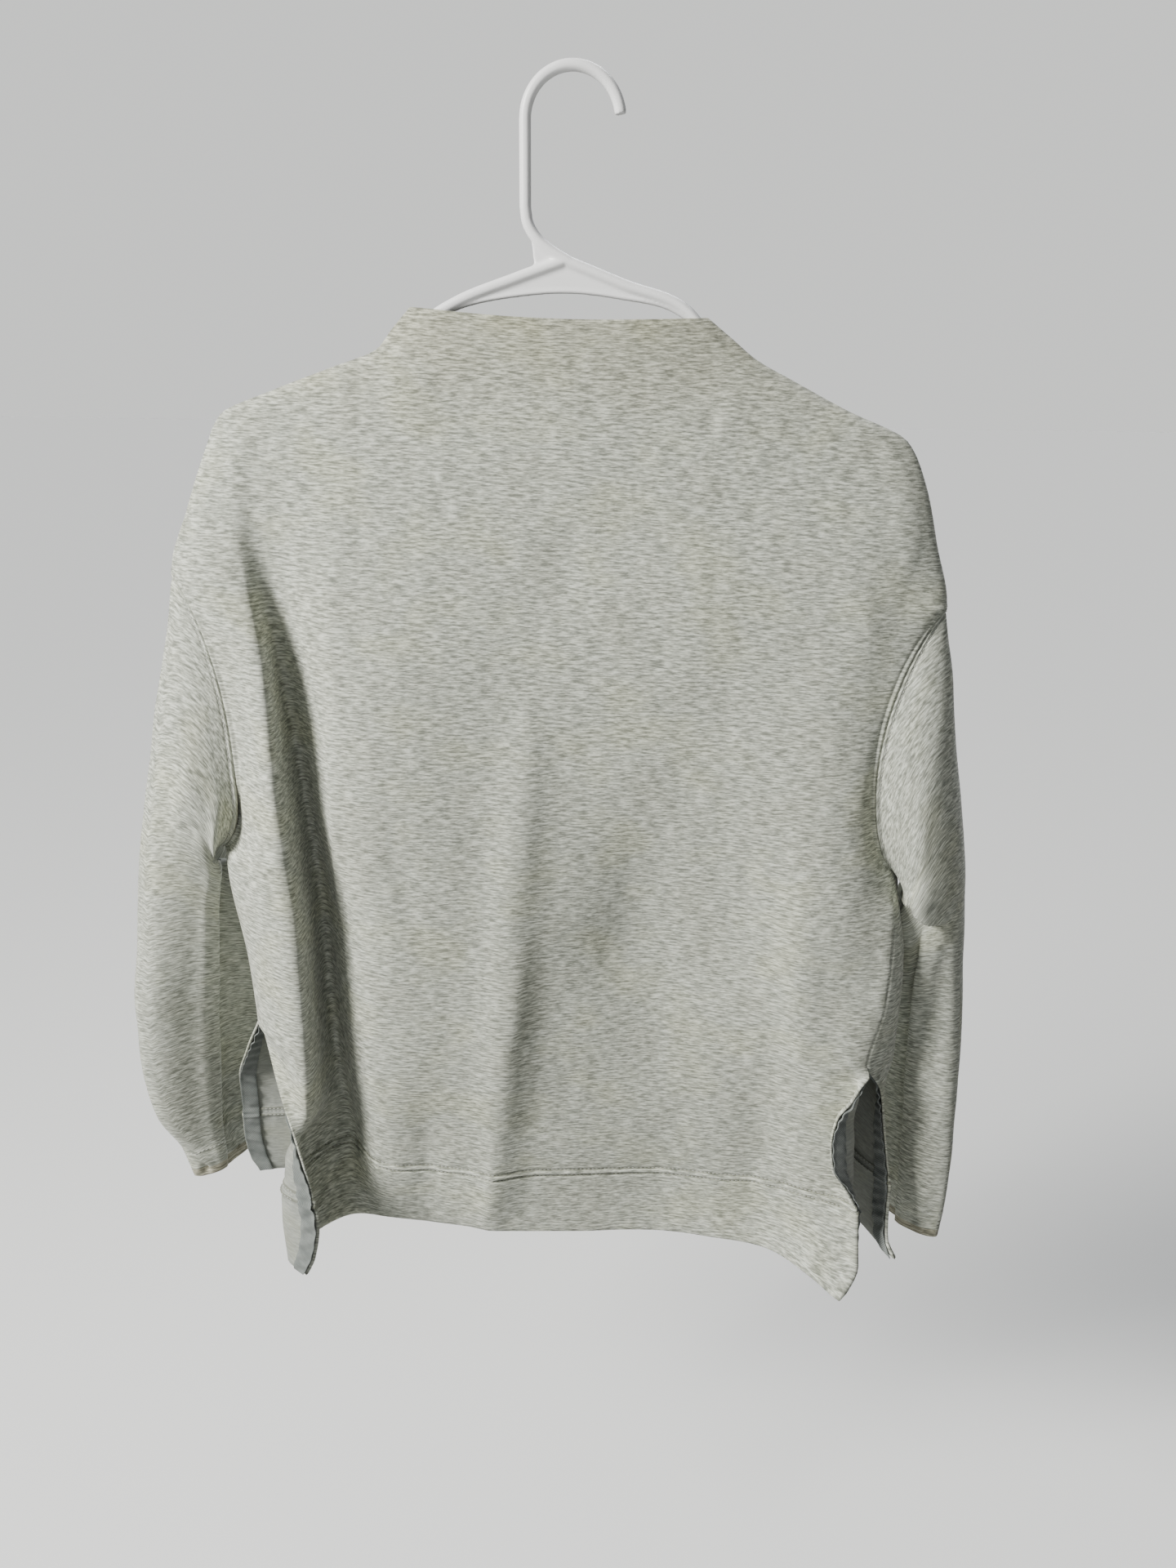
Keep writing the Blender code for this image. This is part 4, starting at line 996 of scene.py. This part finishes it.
def woven_tape(name):
    """Cotton twill tape, dyed blue grey, washed and rumpled, with diagonal ribs."""
    made, tree, shader = principled(name, Roughness=0.9, Sheen_Weight=0.15,
                                    Specular_IOR_Level=CLOTH_SPECULAR)
    cloth = add(tree, "ShaderNodeUVMap", {"uv_map": "cloth"})
    turned = add(tree, "ShaderNodeMapping", Vector=(cloth, "UV"), Rotation=(0.0, 0.0, math.radians(40.0)))
    ribs = (add(tree, "ShaderNodeTexWave", {"wave_type": "BANDS", "bands_direction": "X"},
                Vector=(turned, "Vector"), Scale=WAVE / (TAPE_RIBS * MM), Distortion=1.5), "Fac")
    shade = mixed(tree, 0.6, ribs, streaks(tree, *WORN_SPOTS))
    colour = ramp(tree, shade, ((0.25, "#636866"), (0.5, "#777c79"), (0.8, "#929692")))
    dress(tree, shader, colour, ribs, 0.35, 0.3)
    return made


def spun_thread(name, code):
    """Spun polyester sewing thread: a soft gloss and a fine twist."""
    made, tree, shader = principled(name, Roughness=0.6, Sheen_Weight=0.1)
    place = (add(tree, "ShaderNodeTexCoord"), "Object")
    twist = (add(tree, "ShaderNodeTexWave", Vector=place, Scale=WAVE / (THREAD_TWIST * MM)), "Fac")
    dress(tree, shader, ramp(tree, twist, ((0.0, code), (1.0, "#c6c7c1"))))
    return made


def moulded_plastic(name):
    """White polypropylene, injection moulded: smooth, waxy, with a faint parting line all round."""
    made, tree, shader = principled(name, Base_Color=linear("#ffffff"), Roughness=0.34, IOR=1.49,
                                    Subsurface_Weight=0.3, Subsurface_Radius=(0.004, 0.004, 0.004))
    place = (add(tree, "ShaderNodeTexCoord"), "Object")
    cloud = (add(tree, "ShaderNodeTexNoise", Vector=place, Scale=60.0, Detail=3.0), "Fac")
    axes = add(tree, "ShaderNodeSeparateXYZ", Vector=place)
    aside = computed(tree, "ABSOLUTE", (axes, "Y"))
    line = (add(tree, "ShaderNodeMapRange", Value=aside, _1=0.0, _2=0.0003, _3=1.0, _4=0.0), 0)
    dress(tree, shader, None, mixed(tree, 0.15, line, cloud), 0.4, 0.3)
    return made


def painted_board(name, dark, code):
    """Matt board; light that comes back from it is dim, so that the garment keeps its shadows."""
    made, tree, shader = principled(name, Roughness=0.9)
    rays = add(tree, "ShaderNodeLightPath")
    dress(tree, shader, ramp(tree, (rays, "Is Camera Ray"), ((0.0, dark), (1.0, code))))
    return made


# ---- stitches by Geometry Nodes
STITCH_PITCH = 3.0
STITCH_LENGTH = 2.4
STITCH_WIDTH = 0.6
NEEDLE_LIFT = 0.1
LOOPER_LIFT = -0.15
LOOPER_ROWS = (0.3, 2.5, 4.7)
LOOPER_INSET = 14
SEAM_RADIUS = 0.85


def stitch_tree():
    """Node group: stitches of slightly uneven length along a line."""
    tree = bpy.data.node_groups.new("stitch_row", "GeometryNodeTree")
    for name, way, kind in (("Line", "INPUT", "Geometry"), ("Seed", "INPUT", "Int"),
                            ("Thread", "INPUT", "Material"), ("Stitches", "OUTPUT", "Geometry")):
        tree.interface.new_socket(name, in_out=way, socket_type="NodeSocket" + kind)
    given = add(tree, "NodeGroupInput")
    line = add(tree, "GeometryNodeMeshToCurve", Mesh=(given, "Line"))
    even = add(tree, "GeometryNodeResampleCurve", {"mode": "LENGTH"}, Curve=(line, "Curve"),
               Length=STITCH_PITCH * MM)
    ball = add(tree, "GeometryNodeMeshUVSphere", Segments=6, Rings=4, Radius=0.5)
    tangent = add(tree, "GeometryNodeInputTangent")
    turned = add(tree, "FunctionNodeAlignRotationToVector", {"axis": "Z"}, Vector=(tangent, "Tangent"))
    slack = add(tree, "FunctionNodeRandomValue", {"data_type": "FLOAT"}, _2=0.85, _3=1.1,
                Seed=(given, "Seed"))
    long = computed(tree, "MULTIPLY", STITCH_LENGTH * MM, (slack, 1))
    size = add(tree, "ShaderNodeCombineXYZ", X=STITCH_WIDTH * MM, Y=STITCH_WIDTH * MM, Z=long)
    placed = add(tree, "GeometryNodeInstanceOnPoints", Points=(even, "Curve"), Instance=(ball, "Mesh"),
                 Rotation=(turned, "Rotation"), Scale=(size, "Vector"))
    real = add(tree, "GeometryNodeRealizeInstances", Geometry=(placed, "Instances"))
    smooth = add(tree, "GeometryNodeSetShadeSmooth", Geometry=(real, "Geometry"))
    dyed = add(tree, "GeometryNodeSetMaterial", Geometry=(smooth, "Geometry"), Material=(given, "Thread"))
    add(tree, "NodeGroupOutput", Stitches=(dyed, "Geometry"))
    return tree


def settle(piece):
    """Replace a piece's mesh by what its modifiers make of it."""
    graph = bpy.context.evaluated_depsgraph_get()
    piece.data = bpy.data.meshes.new_from_object(piece.evaluated_get(graph))
    piece.modifiers.clear()
    piece.data.name = piece.name


def stitches(name, lines, seed):
    """A piece of sewing: one mesh with a stitch at every pitch along each line."""
    mesh = bpy.data.meshes.new(name)
    points, edges = [], []
    for line in lines:
        start = len(points)
        points += (np.asarray(line) * MM).tolist()
        edges += [(start + i, start + i + 1) for i in range(len(line) - 1)]
    mesh.from_pydata(points, edges, [])
    made = new_piece(name, mesh, [thread])
    step = made.modifiers.new("stitches", "NODES")
    step.node_group = sewing
    values = {"Seed": seed, "Thread": thread}
    for item in sewing.interface.items_tree:
        if item.in_out == "INPUT" and item.name in values:
            step[item.identifier] = values[item.name]
    bpy.context.view_layer.update()
    settle(made)
    return made


def row_line(skin, at, place, flip, lift, closed=False):
    """Line through the points of a skin's columns where `at` reaches a place, lifted off the cloth."""
    raised = skin + normals(skin, flip, closed) * lift
    line = [[np.interp(place, at[:, c], raised[:, c, k]) for k in range(3)] for c in range(skin.shape[1])]
    return np.array(line + line[:1] if closed else line)


def bar(name, lines, radius):
    """Round bars along lines in space, as one mesh."""
    line = bpy.data.curves.new(name, "CURVE")
    line.dimensions = "3D"
    line.bevel_depth = radius * MM
    line.bevel_resolution = 5
    line.use_fill_caps = True
    for points in lines:
        closed = bool(np.allclose(points[0], points[-1]))
        points = points[:-1] if closed else points
        spline = line.splines.new("POLY")
        spline.points.add(len(points) - 1)
        for point, place in zip(spline.points, points):
            point.co = (*[v * MM for v in place], 1.0)
        spline.use_cyclic_u = closed
    curve = bpy.data.objects.new(name, line)
    bpy.context.scene.collection.objects.link(curve)
    mesh = bpy.data.meshes.new_from_object(curve.evaluated_get(bpy.context.evaluated_depsgraph_get()))
    bpy.data.objects.remove(curve, do_unlink=True)
    return mesh


# ---- build
knit = heather_knit("heather_double_knit", "#82857b", "#b1b4a8", "#dee1d5", 0.28, 0.3)
knit_back = heather_knit("heather_double_knit_back", "#898c85", "#999c95", "#acafa7", 0.4, 0.15)
tape_look = woven_tape("twill_tape")
thread = spun_thread("spun_polyester_thread", "#a8a9a3")
plastic = moulded_plastic("moulded_polypropylene")
sewing = stitch_tree()

levels = row_levels()
shorter = (BACK_HEM - SLIT_TOP) / (FRONT_HEM - SLIT_TOP)
back_levels = [SLIT_TOP + (level - SLIT_TOP) * (shorter if level < SLIT_TOP else 1.0) for level in levels]
front_skins = panel_skins(True, levels, FRONT_COLUMNS, HEM_LINE, FRONT_CREASES, 1)
back_skins = panel_skins(False, back_levels, BACK_COLUMNS, BACK_HEM_LINE, BACK_CREASES, 4)
front = shell("front_panel_cloth", *front_skins, False, (knit, knit_back))
back = shell("back_panel_cloth", *back_skins, False, (knit, knit_back))
left_skins = sleeve_skins(SLEEVE_LEFT, FOLDS_LEFT, ARMHOLE_LEFT, CUFF_TILT_LEFT, 7,
                          LOBES_LEFT, None, PUSHES_LEFT)
right_skins = sleeve_skins(SLEEVE_RIGHT, FOLDS_RIGHT, ARMHOLE_RIGHT, CUFF_TILT_RIGHT, 9,
                           LOBES_RIGHT, LAP_RIGHT, PUSHES_RIGHT)
left_sleeve = shell("sleeve_left_cloth", *left_skins, True, (knit, knit_back))
right_sleeve = shell("sleeve_right_cloth", *right_skins, True, (knit, knit_back))


def resample(grid, at, fine):
    """The rows of a grid at other, finer levels."""
    place = np.interp(fine, at, np.arange(len(at)))
    low = np.minimum(place.astype(int), len(at) - 2)
    share = (place - low)[:, None, None]
    return grid[low] * (1.0 - share) + grid[low + 1] * share


def tape(name, skins, at_levels, left, seed):
    """Tape on the inside of a slit's edge, made from the panel's inner points and rumpled."""
    rows = sum(1 for level in at_levels if level < SLIT_TOP)
    columns = slice(0, TAPE_COLUMNS) if left else slice(-TAPE_COLUMNS, None)
    fine = np.linspace(at_levels[0], at_levels[rows - 1], TAPE_ROWS)
    outer, inner, cloth = (resample(skin[:rows, columns], at_levels[:rows], fine) for skin in skins)
    way = inner - outer
    way /= np.linalg.norm(way, axis=2, keepdims=True)
    along = cloth[:, :, 1] / MM
    across = np.abs(cloth[:, :, 0] / MM - (cloth[:, :1, 0] if left else cloth[:, -1:, 0]) / MM)
    drift, swell, share = (size * np.sin(along / spacing + seed)
                           for size, spacing in (RUMPLE_DRIFT, RUMPLE_SWELL, RUMPLE_SHARE))
    wave = np.sin(along / RUMPLE_WAVE[1] + across / RUMPLE_SLANT + drift)
    rumple = RUMPLE + RUMPLE_WAVE[0] * wave * (1.0 - RUMPLE_SHARE[0] + share) + swell
    lift = (TAPE_GAP + np.clip(rumple, 0.0, None))[:, :, None]
    base = inner + way * lift
    return shell(name, base + way * TAPE_WALL, base, cloth, False, (tape_look,))


tapes = {}
for panel, skins, at_levels in (("front", front_skins, levels), ("back", back_skins, back_levels)):
    for side in ("left", "right"):
        node = f"tape_{panel}_{side}"
        tapes[node] = tape(node + "_cloth", skins, at_levels, side == "left", len(tapes) + 1.0)


def hem_sewing(name, skins, at_levels, hem, flip, seed):
    """The hem's needle rows on the face, and the looper's rows on the back of the cloth."""
    at = np.repeat(np.asarray(at_levels)[:, None], skins[0].shape[1], 1)
    lines = [row_line(skins[0], at, hem - drop, flip, NEEDLE_LIFT) for drop in NEEDLE_ROWS]
    loopers = [row_line(skins[1], at, hem - drop, flip, LOOPER_LIFT) for drop in LOOPER_ROWS]
    lines += [line[LOOPER_INSET:-LOOPER_INSET] for line in loopers]
    return stitches(name, lines, seed)


def edge_line(skins, at_levels, left, low, high):
    """Line along a panel's edge between two levels, in the middle of the cloth."""
    rows = [row for row, level in enumerate(at_levels) if low - 0.5 <= level <= high + 0.5]
    column = 0 if left else -1
    return 0.5 * (skins[0][rows, column] + skins[1][rows, column])


def seam_allowance():
    """Overlocked edges behind the armhole, side and shoulder seams, which close the joins."""
    lines = [edge_line(front_skins, levels, left, low, high) for left in (True, False)
             for low, high in ((SLIT_TOP + 2.0, UNDERARM), (ARMHOLE_TOP, NECK_TOP))]
    for skins in (left_skins, right_skins):
        ring = 0.5 * (skins[0][0] + skins[1][0])
        lines.append(np.concatenate((ring, ring[:1])))
    return new_piece("seam_allowances", bar("seam_allowances", lines, SEAM_RADIUS), [knit_back])


seams = seam_allowance()
# Rows of sewing on the sleeves: distance from the edge, lift, way through the rings, first seed.
sleeve_rows = []
for place, from_edge, lift, way, seed in (("armhole", 4.0, 0.15, 1, 13), ("cuff", 22.0, 0.1, -1, 15)):
    for turn, (side, skins) in enumerate((("left", left_skins), ("right", right_skins))):
        skin = skins[0][::way]
        line = row_line(skin, distances(skin), from_edge, way * (2.0 * turn - 1.0), lift, True)
        sleeve_rows.append(stitches(f"{place}_stitches_{side}", [line], seed + turn))
hems = [hem_sewing("hem_stitches_front", front_skins, levels, HEM_LINE, 1.0, 11),
        hem_sewing("hem_stitches_back", back_skins, back_levels, BACK_HEM_LINE, -1.0, 12)]


# ---- hanger
def rounded(points, steps):
    """A smooth path through the given points of the hanger's plane, as points in that plane."""
    p = np.asarray(points, float)
    knot = distances(p)
    tangent = np.gradient(p, knot, axis=0)
    t = np.linspace(0.0, 1.0, steps, endpoint=False)[:, None]
    path = [hermite(t, p[i], p[i + 1], knot[i + 1] - knot[i], tangent[i], tangent[i + 1])
            for i in range(len(p) - 1)]
    return np.concatenate(path + [p[-1:]]).tolist()


def plate(points, wall):
    """Flat plate with the given outline."""
    build = bmesh.new()
    half = 0.5 * wall * MM
    face = build.faces.new([build.verts.new((x * MM, -half, z * MM)) for x, z in points])
    grown = bmesh.ops.extrude_face_region(build, geom=[face])
    moved = [item for item in grown["geom"] if isinstance(item, bmesh.types.BMVert)]
    bmesh.ops.translate(build, verts=moved, vec=(0.0, 2.0 * half, 0.0))
    bmesh.ops.triangulate(build, faces=build.faces)
    mesh = bpy.data.meshes.new("plate")
    build.to_mesh(mesh)
    build.free()
    return mesh


def moulded_hanger():
    """Hook, stem, frame and web melted into one moulding by a fine remesh."""
    turns = np.radians(np.linspace(HOOK_END, 180.0, HOOK_STEPS + 1))
    hook = [(HOOK_RADIUS * math.cos(turn), TUBE_RADIUS - HOOK_RADIUS + HOOK_RADIUS * math.sin(turn))
            for turn in turns]
    outline = rounded(FRAME_LEFT, 8) + rounded(FRAME_RIGHT, 8)[:0:-1]
    bars = (("hook", hook + rounded(STEM, 8), TUBE_RADIUS), ("frame", outline + outline[:1], TUBE_RADIUS),
            ("web_rim", rounded(WEB[3:10], 6), WEB_RIM))
    meshes = [bar(name, [[(x, 0.0, z) for x, z in points]], radius) for name, points, radius in bars]
    meshes += [plate(WEB, WEB_WALL), plate(GUSSET, GUSSET_WALL)]
    build = bmesh.new()
    for mesh in meshes:
        build.from_mesh(mesh)
    bmesh.ops.remove_doubles(build, verts=build.verts, dist=0.00001)
    bmesh.ops.recalc_face_normals(build, faces=build.faces)
    joined = bpy.data.meshes.new("hanger_moulding")
    build.to_mesh(joined)
    build.free()
    made = new_piece("hanger_moulding", joined, [plastic])
    melt = made.modifiers.new("melt", "REMESH")
    melt.mode = "VOXEL"
    melt.voxel_size = VOXEL * MM
    soften = made.modifiers.new("soften", "SMOOTH")
    soften.factor = 0.5
    soften.iterations = 8
    settle(made)
    made.data.shade_smooth()
    return made


hanger = moulded_hanger()

# ---- bodies: the CAD parts hidden, the pieces attached to the root body
pairs = [(front, "front_panel"), (back, "back_panel"), (left_sleeve, "sleeve_left"),
         (right_sleeve, "sleeve_right")] + [(piece, node) for node, piece in tapes.items()]
for piece, node in pairs + [(hanger, "hanger")]:
    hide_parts(node)
sewn = hems + sleeve_rows + [seams]
for piece in [piece for piece, _ in pairs] + [hanger] + sewn:
    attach(piece, "root")


# ---- stage, light and camera
FLOOR_LEVEL = -1.25
FLOOR_HALF = 30.0
LIT_PLACE = Vector((0.0, 0.0, -0.45))
AMBIENT = 0.07
BACKGROUND = 1.05


def floor_plane():
    """Wide pale floor below the garment."""
    half = FLOOR_HALF
    corners = [(x, y, FLOOR_LEVEL) for x, y in ((-half, -half), (half, -half), (half, half), (-half, half))]
    mesh = bpy.data.meshes.new("floor")
    mesh.from_pydata(corners, [], [(0, 1, 2, 3)])
    return new_piece("floor", mesh, [painted_board("matt_board", "#979795", "#f8f8f6")])


floor_plane()


def lamp(name, kind, place, size, power, colour):
    """Soft light aimed at the garment: a sun's size is its angle in degrees, an area's its side."""
    light = bpy.data.lights.new(name, kind)
    if kind == "SUN":
        light.angle = math.radians(size)
    else:
        light.size = size
    light.energy = power
    light.color = linear(colour)[:3]
    made = bpy.data.objects.new(name, light)
    made.location = place
    made.rotation_euler = (LIT_PLACE - Vector(place)).to_track_quat("-Z", "Y").to_euler()
    bpy.context.scene.collection.objects.link(made)


lamp("key", "SUN", (-1.7, -1.0, 0.75), 16.0, 2.7, "#fffefa")
lamp("side", "AREA", (-1.2, -0.85, 0.45), 0.45, 36.0, "#fffefa")
lamp("fill", "AREA", (0.1, -2.2, 0.4), 1.2, 5.0, "#f8fbff")
lamp("rear", "SUN", (0.6, 1.2, 1.2), 24.0, 2.1, "#f8fbff")

world = bpy.data.worlds.new("studio")
world.use_nodes = True
sky = world.node_tree
rays = add(sky, "ShaderNodeLightPath")
seen, _ = mixed(sky, (rays, "Is Camera Ray"), AMBIENT, BACKGROUND)
sky.nodes["Background"].inputs["Color"].default_value = linear("#f0f1ef")
sky.links.new(seen.outputs[0], sky.nodes["Background"].inputs["Strength"])
bpy.context.scene.world = world

lens = bpy.data.cameras.new("view")
lens.sensor_width = SENSOR
lens.lens = FOCAL_PIXELS * SENSOR / PHOTO_HEIGHT
view = bpy.data.objects.new("view", lens)
tilt = Matrix.Rotation(math.radians(90.0 - CAMERA_PITCH), 4, "X")
roll = Matrix.Rotation(math.radians(CAMERA_ROLL), 4, "Z")
view.matrix_world = Matrix.Translation(CAMERA_PLACE) @ tilt @ roll
bpy.context.scene.collection.objects.link(view)
bpy.context.scene.camera = view
